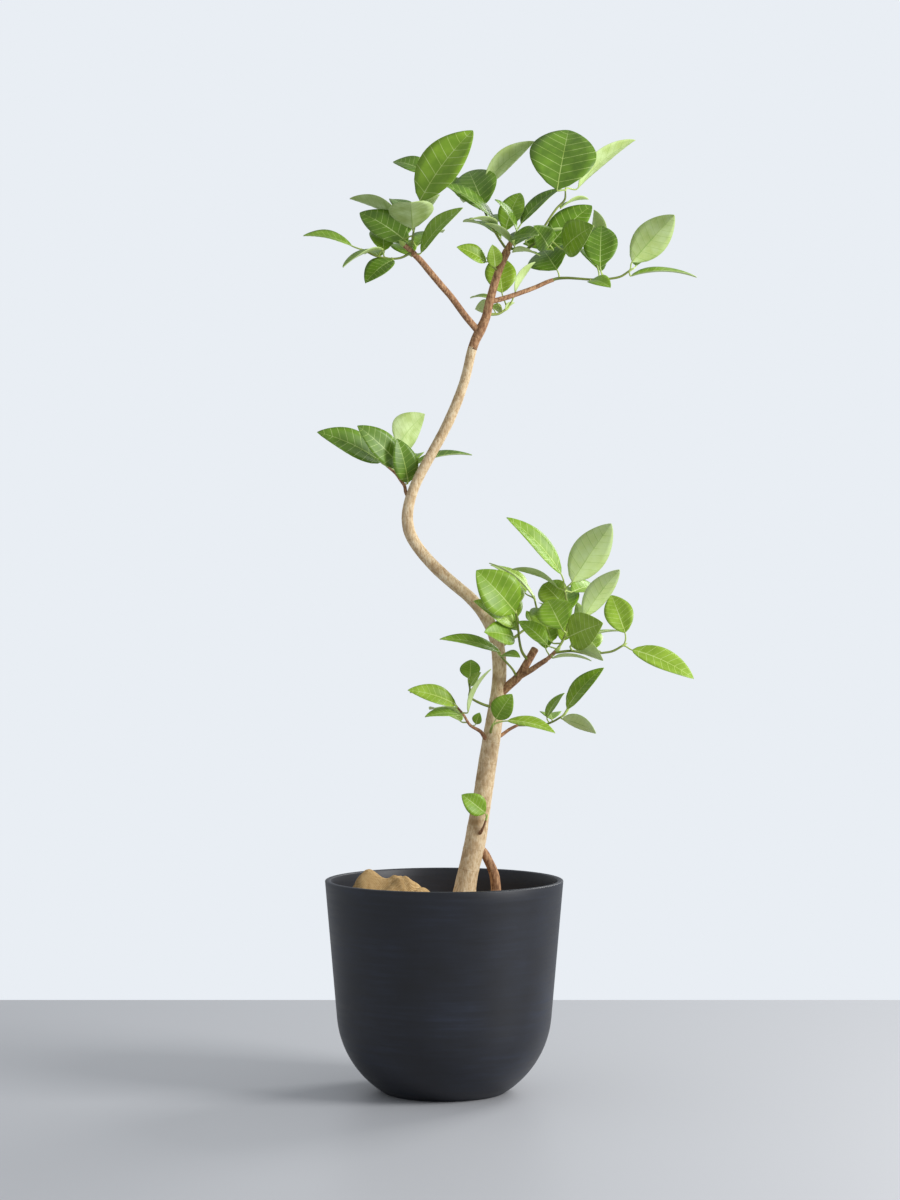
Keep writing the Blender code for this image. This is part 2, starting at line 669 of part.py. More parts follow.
def build_blade(blade, group):
    """A folded blade, thickest along its midrib and thin at its margin."""
    bm = bmesh.new()
    rings = [[bm.verts.new(blade.foot)]]
    thick = blade.up * BLADE_THICKNESS / 2
    for t in BLADE_STATIONS:
        middle = blade_point(blade, t, 0.0)
        corners = (blade_point(blade, t, -1.0), middle + thick, blade_point(blade, t, 1.0), middle - thick)
        rings.append([bm.verts.new(corner) for corner in corners])
    rings.append([bm.verts.new(blade.tip)])
    for corner in range(4):
        after = (corner + 1) % 4
        bm.faces.new((rings[0][0], rings[1][corner], rings[1][after]))
        bm.faces.new((rings[-1][0], rings[-2][after], rings[-2][corner]))
        for ring, above in zip(rings[1:-2], rings[2:-1]):
            bm.faces.new((ring[corner], above[corner], above[after], ring[after]))
    bmesh.ops.triangulate(bm, faces=bm.faces)
    return object_from("blade", bm, group)


def nearest_on(routes, place):
    """The point of the twigs nearest to a place, and the twig's direction there."""
    best = None
    for route in routes:
        for start, end in zip(route[:-1, :3], route[1:, :3]):
            run = end - start
            share = np.clip(np.dot(place - start, run) / np.dot(run, run), 0.0, 1.0)
            point = start + run * share
            distance = np.linalg.norm(place - point)
            if best is None or distance < best[0]:
                best = (distance, point, unit(run))
    return best


def build_petiole(blade, routes, group):
    """The stalk from the nearest twig, leaving along the twig and sunk into the blade."""
    distance, root, along_twig = nearest_on(routes, blade.foot)
    length = np.linalg.norm(blade.tip - blade.foot)
    inside = blade_point(blade, PETIOLE_SINK, 0.0)
    along = unit(inside - blade.foot)
    handle = distance / 3
    corners = (root, root + along_twig * handle, blade.foot - along * handle, blade.foot)
    points = []
    for t in PETIOLE_STATIONS:
        weights = ((1 - t) ** 3, 3 * t * (1 - t) ** 2, 3 * t * t * (1 - t), t ** 3)
        points.append(sum(weight * corner for weight, corner in zip(weights, corners)))
    points.append(inside)
    radius = PETIOLE_RADIUS * min(1.0, 0.55 + length / 120)
    return tube("petiole", np.array([(*point, radius) for point in points]), PETIOLE_SIDES, group)


def extra_depth(mass, x, z):
    """Depth that a mass's shift and lean add at a point seen at x, z."""
    root = mass.twigs[0][0]
    return mass.shift + mass.lean * min(1.0, math.hypot(x - root.x, z - root.z) / LEAN_OVER)


def blade_cloud(blade, along=7, across=5):
    """Points spread over a blade."""
    return np.array([blade_point(blade, t, side) for t in np.linspace(0.05, 0.97, along)
                     for side in np.linspace(-1, 1, across)])


def seen_from_front(points):
    """Where points appear in the plane of the planter's axis, as x, z."""
    farther = 1.0 - points[:, 1:2] / EYE[1]
    return EYE[[0, 2]] + (points[:, [0, 2]] - EYE[[0, 2]]) / farther


def grow_far_leaves(mass, routes, blades, others, limb_points):
    """Leaves on the far side of a mass, round its twigs by the golden angle.

    One that would show past the leaves in front of it, or come near a limb or another leaf,
    is skipped, so the mass keeps to its own space.
    """
    rng = random.Random(mass.name)
    front = np.vstack([blade_cloud(blade) for blade in blades])
    front_seen = seen_from_front(front)
    taken = np.vstack([front] + [blade_cloud(blade) for blade in others])
    grown = []
    for turn in range(FAR_TRIES):
        if len(grown) == mass.far:
            break
        route = routes[turn % len(routes)]
        node = route[rng.randrange(len(route) // 2, len(route)), :3]
        bearing = turn * GOLDEN_ANGLE
        length = rng.uniform(*FAR_LENGTH)
        rise = rng.uniform(0.1, 0.9)
        along = unit(np.array((math.cos(bearing), abs(math.sin(bearing)) + 0.35, rise)))
        foot = node + along * FAR_PETIOLE
        up = unit(UP - along * along[2])
        blade = Blade(foot, foot + along * length, up, length * FAR_SHAPE)
        cloud = blade_cloud(blade)
        spread = np.linalg.norm(seen_from_front(cloud)[:, None] - front_seen[None], axis=2)
        covered = (spread.min(axis=1) < FAR_COVER).mean()
        limb_gap = np.linalg.norm(cloud[:, None] - limb_points[None, :, :3], axis=2) - limb_points[None, :, 3]
        leaf_gap = np.linalg.norm(cloud[:, None] - taken[None], axis=2)
        if covered < FAR_COVERED or limb_gap.min() < LIMB_CLEARANCE or leaf_gap.min() < LEAF_CLEARANCE:
            continue
        grown.append(blade)
        taken = np.vstack((taken, cloud))
    return grown


def build_mass(mass, routes, blades, parents, sides, finish_material):
    """Stem, twigs, stalks and blades joined into one body, cut clear of the limb that bears it."""
    parts = bpy.data.collections.new(mass.name + "_parts")
    bpy.context.scene.collection.children.link(parts)
    stem = tube(mass.name, routes[0], TWIG_SIDES)
    for route in routes[1:]:
        tube("twig", route, TWIG_SIDES, parts)
    for blade in blades:
        build_blade(blade, parts)
        build_petiole(blade, routes, parts)
    apply_boolean(stem, "UNION", group=parts)
    for part in list(parts.objects):
        bpy.data.objects.remove(part)
    bpy.data.collections.remove(parts)
    carve(stem, parents, sides)
    keep_whole(stem)
    return finish(stem, finish_material, smooth_below=30.0)


def build_plant(bark, leaf_green):
    """Limbs first, then each mass on the limb that bears it."""
    limb_routes = {}
    rest = planted(route_through(TRUNK))
    for name, height in TRUNK_PARTS:
        below, rest = part_route(rest, height) if height else (rest, None)
        limb_routes[name] = below
        finish(tube(name, below, TRUNK_SIDES), bark)
    boughs = (("aerial_root", planted(route_through(AERIAL_ROOT)), ("trunk_lower",)),
              ("bough_left", route_through(BOUGH_LEFT), ("trunk_upper", "leader")),
              ("bough_right", route_through(BOUGH_RIGHT), ("leader",)),
              ("bough_lower", route_through(BOUGH_LOWER), ("trunk_lower",)),
              ("bough_lower_right", route_through(BOUGH_LOWER_RIGHT), ("bough_lower",)))
    for name, route, parents in boughs:
        limb_routes[name] = route
        limb = tube(name, route, BOUGH_SIDES)
        sides = TRUNK_SIDES if parents[0] in ("trunk_lower", "trunk_upper", "leader") else BOUGH_SIDES
        carve(limb, [limb_routes[parent] for parent in parents], sides)
        keep_whole(limb)
        finish(limb, bark)
    limb_points = np.vstack(list(limb_routes.values()))

    plans = []
    for mass in MASSES:
        routes = [route_through([s._replace(depth=s.depth + extra_depth(mass, s.x, s.z)) for s in stations])
                  for stations in mass.twigs]
        blades = [blade_of(leaf, extra_depth(mass, leaf.x, leaf.z)) for leaf in mass.leaves]
        plans.append((mass, routes, blades))
    for index, (mass, routes, blades) in enumerate(plans):
        others = [blade for place, plan in enumerate(plans) if place != index for blade in plan[2]]
        blades += grow_far_leaves(mass, routes, blades, others, limb_points)
        parents = [limb_routes[name] for name in mass.limbs]
        sides = BOUGH_SIDES if mass.limbs[0].startswith("bough") else TRUNK_SIDES
        build_mass(mass, routes, blades, parents, sides, leaf_green)


def main():
    for old in list(bpy.data.objects):
        bpy.data.objects.remove(old)
    finish(build_pot(), material("charcoal_pot", (0.018, 0.019, 0.024), 0.5))
    finish(build_soil(), material("potting_soil", (0.05, 0.032, 0.02), 0.95))
    finish(build_cloth(), material("jute_cloth", (0.4, 0.26, 0.13), 0.9))
    bark = material("pale_bark", (0.5, 0.36, 0.22), 0.8)
    leaf_green = material("leaf_green", (0.16, 0.34, 0.05), 0.45)
    build_plant(bark, leaf_green)


main()
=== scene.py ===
"""Potted council tree, dressed: a winding fig with glossy leaves in a charcoal planter.

Sizes are in millimetres, and MM turns them into Blender's metres.
"""
import math
import random
from typing import NamedTuple

import bpy
import numpy as np
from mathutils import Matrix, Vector


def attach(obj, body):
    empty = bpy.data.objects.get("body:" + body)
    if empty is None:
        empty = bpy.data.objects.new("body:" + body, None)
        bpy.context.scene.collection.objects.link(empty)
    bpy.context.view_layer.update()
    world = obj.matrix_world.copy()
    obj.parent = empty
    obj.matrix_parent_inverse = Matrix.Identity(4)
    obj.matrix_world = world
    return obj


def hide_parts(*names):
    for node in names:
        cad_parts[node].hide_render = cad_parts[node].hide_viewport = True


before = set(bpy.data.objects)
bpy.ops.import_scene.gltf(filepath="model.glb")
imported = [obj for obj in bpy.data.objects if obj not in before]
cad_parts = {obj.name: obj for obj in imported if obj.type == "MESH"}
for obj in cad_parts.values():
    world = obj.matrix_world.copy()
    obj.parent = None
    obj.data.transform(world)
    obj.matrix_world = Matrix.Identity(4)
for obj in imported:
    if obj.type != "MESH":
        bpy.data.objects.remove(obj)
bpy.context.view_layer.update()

bl_info = {
    "name": "Potted council tree",
    "version": (1, 0, 0),
    "blender": (4, 5, 0),
    "location": "View3D > Sidebar > Potted tree",
    "description": "Builds a potted council tree: planter, jute cover, bark, twigs and leaves",
    "category": "Add Mesh",
}

BODY = "root"
MM = 0.001
GAP = 0.3
UP = np.array((0.0, 0.0, 1.0))

# The viewer, from the middle of the planter's foot
EYE = np.array((7.25, -3333.0, 613.0))
LENS = 80.0
SENSOR = 36.0

# The floor and the lights, in metres and watts: name, place, width, power
FLOOR_HALF_X, FLOOR_HALF_Y = 1.4, 0.754
WINDOWS = (("window", (2.3, -1.0, 1.5), 1.1, 68.0), ("back_window", (1.9, 1.9, 2.1), 1.2, 46.0))
LIT_POINT = Vector((0, 0, 0.6))
ROOM_LIGHT = 0.62

# Planter
RIM_RADIUS = 149.0
POT_HEIGHT = 264.0
POT_WALL = 7.0
SIDE_SLOPE = math.radians(5.0)
CURVE_RADIUS = 120.0
CURVE_HEIGHT = 103.0
FLOOR_HEIGHT = 9.0
LIP_ROUND = 1.6
POT_SIDES = 160
LINE_POINTS = 12
LIP_POINTS = 9
FOOT_RING = 40.0
# Turned surfaces start and end this far from the axis
AXIS_RADIUS = 0.2

# Soil
SOIL_TOP = 222.0
SOIL_SIDES = 120
SOIL_RINGS = 60
SOIL_RIPPLE = 0.5
SOIL_LUMPS = 0.6

# The jute cloth bunched on the soil. Each heap is x, y, height, spread
CLOTH_REST = 3.0
CLOTH_SAG = -1.0
CLOTH_THICKNESS = 1.4
CLOTH_RADIUS = 136.5
CLOTH_HOLE_X = 42.0
CLOTH_HOLE = (42.0, 27.0)
CLOTH_GRID = (260, 90)
CLOTH_HEAPS = (
    (-98, 14, 50, 17), (-53, 8, 42, 18), (-25, -8, 22, 14), (-76, -38, 22, 22), (88, -8, 24, 14),
)
FULL_FOLDS_AT = 16.0
FOLDS_ON_FLAT = 0.15
FOLDS_SINK = 2.0
FOLD_DEPTH = 1.6
CREASE_DEPTH = 0.8
PLEAT_DEPTH = 5.0
THREAD_SPACING = 2.6

# Wood
STEP_ALONG = 18.0
BARK_STEP = 2.2
TWIG_STEP = 1.8
SHOOT_STEP = 2.0
FORK_HEIGHT = 925.0
STEM_SIDES = 56
BOUGH_SIDES = 32
TWIG_SIDES = 10
WOODY_RADIUS = 2.2
RING_SPACING = 27.0
# Shares of a limb's radius: heights of the bark's rings, lumps and furrows
RING_RISE = 0.030
LUMP_RISE = 0.022
FURROW_RISE = 0.010
# Shares of a limb's end radius: its last ring, and its dome's top and shoulder
END_RING = 0.02
DOME_TOP = 0.35
SHOULDER_HEIGHT, SHOULDER_WIDTH = 0.28, 0.7

# Leaf stalks and buds
PETIOLE_SIDES = 8
PETIOLE_RADIUS = 1.0
PETIOLE_SINK = 0.1
PETIOLE_POINTS = 9
PETIOLE_STEP = 3.0
PETIOLE_TAPER = (1.15, 0.85)
BUD_LENGTH = 9.0
BUD_POINTS = 7
BUD_SINK = 1.0

# Leaf blades: columns across a blade, and the four skins that its faces take
BLADE_THICKNESS = 0.7
BLADE_FOLD = math.tan(math.radians(12.0))
BLADE_ARCH = 0.08
BLADE_ENDS = (0.0, 0.03, 0.95, 0.98, 1.0)
BLADE_COLUMNS = (-1.0, -0.68, -0.34, -0.02, 0.02, 0.34, 0.68, 1.0)
TIP_HALF = 0.5
EDGE_THIN = 0.6
MARGIN_WAVE = 0.02
VEIN_PAIRS = 8
VEIN_SPAN = (0.10, 0.90)
VEIN_SHARE = 0.006
VEIN_SWEEP = 0.16
VEIN_DIP = 0.22
VEIN_PROUD = 0.18
PUCKER = 0.14
RIB_HALF = 0.65
RIB_PROUD = 0.55
UPPER, UNDER, VEIN_ABOVE, VEIN_UNDER = range(4)

# Leaves on the far side of the crown, which grow by a rule
GOLDEN_ANGLE = math.pi * (3.0 - math.sqrt(5.0))
FAR_TRIES = 160
FAR_LENGTH = (54.0, 82.0)
FAR_RISE = (0.1, 0.9)
FAR_BACKWARD = 0.35
FAR_SHAPE = 0.5
FAR_PETIOLE = 20.0
FAR_COVER = 7.0
FAR_COVERED = 0.93
LIMB_CLEARANCE = 5.0
LEAF_CLEARANCE = 5.0
LEAN_OVER = 60.0

# Greens of each tint: upper side in its two near greens, underside, vein. The greens are made bright as
# painted light, in place of the light that shines through leaves, which are opaque here; the deep tint is
# partly painted shade and the bright tint partly painted light, besides the leaves' own spread of tone
GREENS = {
    "deep": ("#56771c", "#6a8f22", "#a3b868", "#93ac48"),
    "middle": ("#71961f", "#88ad2c", "#b0c473", "#a8c055"),
    "bright": ("#7f9f26", "#98b838", "#bdd083", "#bcd06a"),
}
# Tints that a mass's leaves are dealt from, and those of every other mass. The upper masses lean to the deep
# tint, partly painted shade, and the lower masses to the bright tint, partly painted light
TINTS_OF = {
    "foliage_left": ("middle", "deep", "middle"),
    "foliage_top": ("deep", "middle", "deep"),
    "foliage_right": ("middle", "deep"),
    "foliage_middle": ("middle", "deep"),
    "foliage_lower_right": ("bright", "middle", "bright"),
    "foliage_lower_tip": ("middle", "bright"),
    "foliage_low_left": ("middle", "bright"),
}
USUAL_TINTS = ("middle", "bright")


class Station(NamedTuple):
    """A point of a limb's middle line."""
    x: float
    z: float
    depth: float
    diameter: float


class Leaf(NamedTuple):
    """One leaf as it is seen from the front."""
    x: float       # foot of the blade
    z: float
    depth: float
    angle: float   # way it points, in degrees anticlockwise from +X
    seen: float    # length that is seen
    away: float    # how far the tip lies behind the foot
    width: float
    face: float    # turn about the midrib: 0 shows the upper side, 180 the underside


class Mass(NamedTuple):
    """A mass of foliage: its twigs (the first is the stem) and its leaves."""
    name: str
    twigs: tuple
    leaves: tuple
    shift: float = 0.0   # added to every depth
    lean: float = 0.0    # depth that is gained over the first LEAN_OVER from the root
    far: int = 0         # leaves that the rule adds on the far side


class Blade(NamedTuple):
    """A leaf blade in space."""
    foot: np.ndarray
    tip: np.ndarray
    up: np.ndarray
    width: float


def limb(*rows):
    """A limb's stations, each written x, z, depth, diameter."""
    return tuple(Station(*row) for row in rows)


def foliage(name, twigs, leaves, **rest):
    """A mass whose twigs and leaves are written as rows of Station and Leaf."""
    return Mass(name, tuple(limb(*rows) for rows in twigs), tuple(Leaf(*row) for row in leaves), **rest)


# The winding stem, from the soil to the fork
TRUNK = limb(
    (22, 222.3, 0, 34), (26, 252, 0, 27.5), (39, 313, 2, 26),
    (49, 375, 4, 23.5), (59, 440, 6, 22.5), (66, 488, 8, 18.8),
    (69, 522, 8, 17.5), (64.5, 565, 6, 16.8), (45, 602, 2, 15),
    (0, 643.5, -4, 14.7), (-26, 670, -8, 14.4), (-43, 697, -12, 14.6),
    (-46, 716, -12, 14.2), (-39, 750, -10, 13), (-20, 788, -6, 12.5),
    (6.5, 838, 0, 12.6), (26, 889, 4, 12), (39, 938, 4, 12),
    (45.5, 951, 4, 13), (51, 963, 4, 11.5), (57.3, 988, 3, 10.8),
    (64.3, 1013, 2, 10), (73.5, 1038, 0, 10), (78.5, 1049, 0, 10.4),
)
AERIAL_ROOT = limb(
    (63.5, 222.3, 4, 13), (61.6, 273, 4, 12), (56, 285.5, 4, 11.5),
    (49.8, 296.8, 3, 11), (40, 306, 2, 11),
)
BOUGH_LEFT = limb(
    (43, 948, 4, 8.5), (39.8, 952, 3, 8.5), (27.3, 966.8, -4, 8.2),
    (9.8, 990.5, -18, 8), (-5.3, 1008, -30, 8), (-17.8, 1023, -40, 7.8),
    (-30.3, 1038, -50, 7.6), (-39, 1046.8, -55, 7.5),
)
BOUGH_RIGHT = limb(
    (57.3, 985.5, 3, 6.5), (76, 990.5, 8, 6.5), (94.8, 996.8, 16, 6),
    (113.5, 1003.6, 25, 5.6), (132.3, 1011.8, 33, 5.2), (136, 1013, 35, 5),
)
BOUGH_LOWER = limb(
    (66, 492, 8, 11), (79.8, 505.5, 5, 10.8), (93.5, 518, -4, 10.4),
    (103.5, 534.3, -9, 10), (113.5, 551.8, -12, 9.5),
)
BOUGH_LOWER_RIGHT = limb(
    (93.5, 516.8, -4, 7.5), (108.5, 525.5, -22, 7), (118, 532, -36, 6.5),
    (127.3, 538, -48, 6),
)
LIMBS = (TRUNK, AERIAL_ROOT, BOUGH_LEFT, BOUGH_RIGHT, BOUGH_LOWER, BOUGH_LOWER_RIGHT)

# The masses of foliage, from the crown down
LEFT = foliage(
    "foliage_left", shift=-40, far=5,
    twigs=(
        ((-36, 1044, -14, 6.4), (-43, 1050.5, -16, 6.4), (-50.3, 1056.8, -18, 6)),
        ((-40, 1048, -16, 3.4), (-55, 1040.5, -22, 2.8), (-75, 1040.5, -28, 2.6),
         (-88, 1044, -30, 2.6), (-96, 1048, -30, 2.4)),
        ((-41, 1049.5, -16, 3.6), (-40, 1062, -14, 2.8), (-37, 1080, -10, 2.6), (-32, 1100, -8, 2.4)),
    ),
    leaves=(
        (-30.3, 1111.8, -10, 53, 110, 15, 58, 30),
        (-39.6, 1076.8, -25, 94, 33, -70, 55, 180),
        (-45.3, 1059.3, -5, 148, 71, 20, 42, 30),
        (-47.8, 1080.5, 2, 154, 78, 25, 40, 112),
        (-20.3, 1145.5, 22, 161, 46, 20, 34, 55),
        (-29, 1046.8, -18, 47, 77, -20, 36, 60),
        (-35.3, 1080.5, 8, 53, 49, 25, 26, 130),
        (-41.5, 1043, 2, 140, 24, 48, 32, 40),
        (-115.3, 1055.5, -30, 168, 62, -10, 30, 70),
        (-77.8, 1051.8, -40, 205, 54, -25, 32, 84),
        (-64, 1038, -28, 220, 45, -22, 34, 45),
    ),
)
TOP = foliage(
    "foliage_top", far=5,
    twigs=(
        ((76.5, 1045, 0, 8.6), (80, 1053, 0, 8), (84, 1061, 0, 6)),
        ((78, 1051, 0, 3.4), (67.3, 1066.8, -3, 3), (57.3, 1084.3, -6, 2.8), (50.4, 1099.3, -8, 2.4)),
        ((80, 1053, 0, 3.6), (99.8, 1050.5, -5, 3.4), (114.8, 1060.5, -10, 3.2),
         (127.3, 1083, -10, 3), (141, 1103, -9, 2.8), (151, 1114.3, -8, 2.6), (151.5, 1124.3, -8, 1.8)),
    ),
    leaves=(
        (49.8, 1105.5, -12, 114, 47, 50, 56, 5),
        (47.3, 1100.5, 4, 142, 66, 25, 38, 50),
        (63.5, 1086.8, -16, 146, 83, -30, 34, 68),
        (66, 1080.5, -16, 167, 36, -35, 24, 105),
        (51, 1133, 12, 41, 81, 25, 32, 140),
        (76, 1074.3, 2, 68, 51, 30, 32, 20),
        (91, 1073, -10, 124, 49, -18, 24, 72),
        (96, 1083, 0, 41, 68, 12, 30, 62),
        (82.3, 1063, -14, 10, 36, -42, 30, 62),
        (84.8, 1059.3, -12, 144, 42, -20, 18, 118),
        (141, 1125.5, -14, 79, 76, 55, 84, 4),
        (167.3, 1128, 12, 40, 93, 25, 40, 118),
        (129.8, 1053, 8, 44, 76, 20, 44, 28),
        (149.8, 1051.8, -22, 38, 47, -45, 46, 30),
        (129.8, 1054.3, -8, 124, 32, -35, 32, 20),
        (134.8, 1050.5, 6, 168, 37, 25, 26, 55),
        (86, 1048, -12, -8, 34, -30, 22, 100),
        (146, 1103, 4, 18, 36, 30, 20, 98),
    ),
)
TOP_BACK = foliage(
    "foliage_top_back", lean=12,
    twigs=(
        ((54, 970, 4, 4), (60, 970, 12, 4), (67.3, 970.5, 16, 3.4), (76, 975.5, 20, 3)),
    ),
    leaves=(
        (72.3, 996.8, 22, 97, 46, 18, 40, 8),
        (88.5, 996.8, 22, 57, 46, 15, 20, 118),
        (58.5, 989.3, 20, 177, 26, 20, 16, 78),
        (58.5, 979.3, 18, 188, 20, 18, 20, 165),
        (72.3, 974.3, 16, 155, 15, 16, 12, 150),
        (76, 976.8, 18, 34, 14, 10, 8, 130),
    ),
)
TOP_SIDE = foliage(
    "foliage_top_side",
    twigs=(
        ((67, 1024, 1, 3.4), (61, 1030.5, -8, 3), (56, 1036.8, -16, 2.6)),
    ),
    leaves=(
        (52.3, 1035.5, -16, 153, 41, -15, 24, 40),
        (63.5, 1029.3, -14, 97, 28, -12, 20, 15),
    ),
)
RIGHT = foliage(
    "foliage_right", shift=60, far=4,
    twigs=(
        ((133, 1012, -26, 3.8), (140, 1014.5, -26, 3.8), (152.3, 1015.5, -27, 3.4),
         (182.3, 1013.6, -30, 3), (204.8, 1014.3, -32, 2.8), (222, 1018, -34, 2.8), (231, 1024, -35, 2.6)),
    ),
    leaves=(
        (141, 1025.5, -22, 125, 30, 50, 56, 5),
        (194.8, 1029.3, -36, 88, 51, 35, 44, 3),
        (187.3, 1050.5, -2, 90, 50, 15, 34, 125),
        (234.8, 1035.5, -34, 48, 79, -25, 44, 172),
        (233.5, 1018, -30, -1, 82, 12, 34, 82),
        (182.3, 1011.8, -34, -18, 27, -38, 24, 50),
    ),
)
MIDDLE = foliage(
    "foliage_middle", lean=16, far=3,
    twigs=(
        ((-41.5, 736, -11, 5), (-48, 748, -8, 4.6), (-49.5, 755.5, -4, 4.2),
         (-54, 761.8, 0, 3.8), (-60.3, 770.5, 6, 3.4), (-70, 779, 12, 3)),
    ),
    leaves=(
        (-79, 785.5, 6, 155, 88, -25, 42, 40),
        (-55.3, 779.3, -4, 136, 74, -30, 38, 28),
        (-57.8, 805.5, 14, 50, 52, 45, 46, 150),
        (-42.8, 779.3, 18, 11, 79, 15, 30, 76),
        (-45.3, 759.3, -2, 104, 57, -15, 34, 22),
    ),
)
LOWER_TIP = foliage(
    "foliage_lower_tip", lean=-10, far=2,
    twigs=(
        ((105, 537, -10, 4), (97, 549, -18, 3.6), (94, 561.8, -21, 3.2), (92.3, 579.3, -23, 2.9),
         (89.8, 596.8, -25, 2.6)),
    ),
    leaves=(
        (88.5, 598, -28, 133, 71, -22, 54, 15),
        (88.5, 579.3, -20, 148, 61, -18, 32, 45),
        (87.3, 565.5, -24, 169, 38, -32, 34, 35),
        (91, 575.5, -16, 133, 36, 8, 24, 30),
    ),
)
LOWER_INNER = foliage(
    "foliage_lower_inner", lean=-6,
    twigs=(
        ((91, 516, -3, 3.4), (85, 527, -14, 3), (77, 536, -19, 2.8), (69.8, 544.3, -22, 2.6)),
    ),
    leaves=(
        (69.8, 548, -24, 168, 77, -12, 24, 55),
        (71, 543, -24, -4, 24, -22, 18, 60),
    ),
)
LOWER_BACK = foliage(
    "foliage_lower_back", lean=30, far=2,
    twigs=(
        ((66, 551, 7, 3.5), (79.8, 560.5, 14, 3.3), (94.8, 571.8, 20, 3), (108.5, 583, 25, 2.8),
         (116, 595.5, 28, 2.6), (113.5, 611.8, 30, 2.4)),
    ),
    leaves=(
        (112.3, 615.5, 30, 142, 71, 20, 24, 84),
        (108.5, 586.8, 22, 115, 14, 0, 10, 20),
    ),
)
LOWER_RIGHT = foliage(
    "foliage_lower_right", shift=-26, far=6,
    twigs=(
        ((124, 536, -20, 5), (131, 541, -23, 5), (139.8, 549.3, -25, 4.6)),
        ((137, 547, -25, 3.4), (158.5, 549.3, -24, 3.2), (182.3, 545.5, -20, 3), (197.3, 546.8, -18, 2.8),
         (211, 549.3, -16, 2.8), (222.3, 555.5, -15, 2.6)),
        ((138, 547.5, -25, 3.4), (147.3, 560.5, -22, 3.2), (152.3, 571.8, -18, 3), (154.8, 588, -12, 2.8),
         (153.5, 606.8, -6, 2.6), (151, 623, 0, 2.4)),
    ),
    leaves=(
        (128.5, 556.8, -20, 140, 46, 12, 26, 38),
        (146, 645.5, -10, 134, 98, -12, 32, 48),
        (142.3, 628, 6, 158, 62, 35, 24, 108),
        (159.8, 623, 8, 4, 36, 50, 36, 60),
        (148.5, 608, 2, 135, 35, 30, 38, 12),
        (147.3, 576.8, -36, 117, 40, 32, 46, 8),
        (159.8, 635.5, -10, 56, 88, -20, 46, 172),
        (174.8, 591.8, -32, 53, 74, -25, 32, 155),
        (168.5, 583, -2, 97, 28, 25, 18, 150),
        (156, 566.8, -34, 22, 46, -42, 46, 12),
        (147.3, 561.8, -12, 60, 30, 28, 28, 20),
        (226, 571.8, -16, 110, 50, 25, 36, 8),
        (234.8, 550.5, -18, -25, 85, -20, 34, 40),
        (158.5, 555.5, -36, -24, 44, -30, 30, 125),
        (136, 540.5, -32, -4, 48, -18, 18, 100),
    ),
)
LOW_LEFT = foliage(
    "foliage_low_left", lean=-25, far=2,
    twigs=(
        ((58, 437, 5, 6), (52.3, 439.5, 2, 5.6), (46, 448, -2, 4.6), (32.3, 456.8, -6, 3.6),
         (23.5, 470.5, -8, 3), (16, 479.3, -8, 2.6)),
    ),
    leaves=(
        (14.8, 481.8, -6, 163, 63, -18, 30, 42),
        (21, 469.3, -10, 183, 45, -16, 22, 60),
        (29.8, 473, -16, 62, 61, -12, 18, 108),
        (39.8, 458, -8, 72, 15, -5, 13, 15),
    ),
)
LOW_TWIG = foliage(
    "foliage_low_twig",
    twigs=(
        ((64, 479, 7, 3.5), (54.8, 480.5, 2, 3.5), (37.3, 488, -2, 3), (31.6, 491.8, -3, 2.8),
         (32.3, 500.5, -4, 2.6), (31, 509.3, -4, 2.4)),
    ),
    leaves=(
        (32.3, 514.3, -2, 87, 24, 10, 26, 8),
        (33.5, 505.5, -6, 54, 21, -8, 15, 50),
    ),
)
LOW_FRONT = foliage(
    "foliage_low_front",
    twigs=(
        ((59, 446, 4, 4), (58, 449, -8, 3.4), (60, 455, -16, 3)),
    ),
    leaves=(
        (64.8, 464.3, -20, 57, 37, -8, 29, 12),
        (78.5, 461.8, -24, -14, 62, -18, 24, 55),
    ),
)
LOW_RIGHT = foliage(
    "foliage_low_right", lean=26, far=2,
    twigs=(
        ((60, 438, 6, 5), (69.8, 443, 6, 4.5), (82.3, 451.8, 4, 4), (92.3, 456.8, 2, 3.6),
         (104.8, 463, 0, 3.2)),
        ((91, 456.5, 2, 3.2), (113.5, 456.8, -2, 2.8), (126, 457.4, -4, 2.6), (136, 461, -6, 2.6),
         (146, 466.8, -8, 2.4)),
    ),
    leaves=(
        (153.5, 476.8, -10, 48, 69, -8, 30, 45),
        (128.5, 465.5, -2, 55, 38, 14, 20, 58),
        (147.3, 464.3, -14, -23, 46, -22, 26, 130),
    ),
)
TRUNK_SPRIG = foliage(
    "foliage_trunk_sprig",
    twigs=(
        ((42, 322, 2, 5), (45, 322, -10, 4.4), (49, 329, -15, 3), (52, 338, -17, 2.4)),
    ),
    leaves=(
        (51, 346.8, -20, 142, 37, -6, 27, 10),
    ),
)
MASSES = (
    LEFT, TOP, TOP_BACK, TOP_SIDE, RIGHT, MIDDLE, LOWER_TIP, LOWER_INNER, LOWER_BACK, LOWER_RIGHT,
    LOW_LEFT, LOW_TWIG, LOW_FRONT, LOW_RIGHT, TRUNK_SPRIG,
)


# Places and directions

def unit(vector):
    """The vector at length 1."""
    return vector / np.linalg.norm(vector)


def as_seen(x, z, depth):
    """Place of what appears at x, z in the plane of the planter's axis and lies depth behind it."""
    farther = 1.0 - depth / EYE[1]
    return np.array((EYE[0] + (x - EYE[0]) * farther, depth, EYE[2] + (z - EYE[2]) * farther))


def seen_from_front(points):
    """Where points appear in the plane of the planter's axis, as x, z: as_seen turned round."""
    farther = 1.0 - points[:, 1:2] / EYE[1]
    return EYE[[0, 2]] + (points[:, [0, 2]] - EYE[[0, 2]]) / farther


def cubic(start, end, leave, arrive, span, t):
    """Place at t of a span on the cubic from start to end that has the slopes leave and arrive."""
    return (start * (1 + 2 * t) * (1 - t) ** 2 + end * t * t * (3 - 2 * t)
            + span * (leave * t * (1 - t) ** 2 + arrive * t * t * (t - 1)))


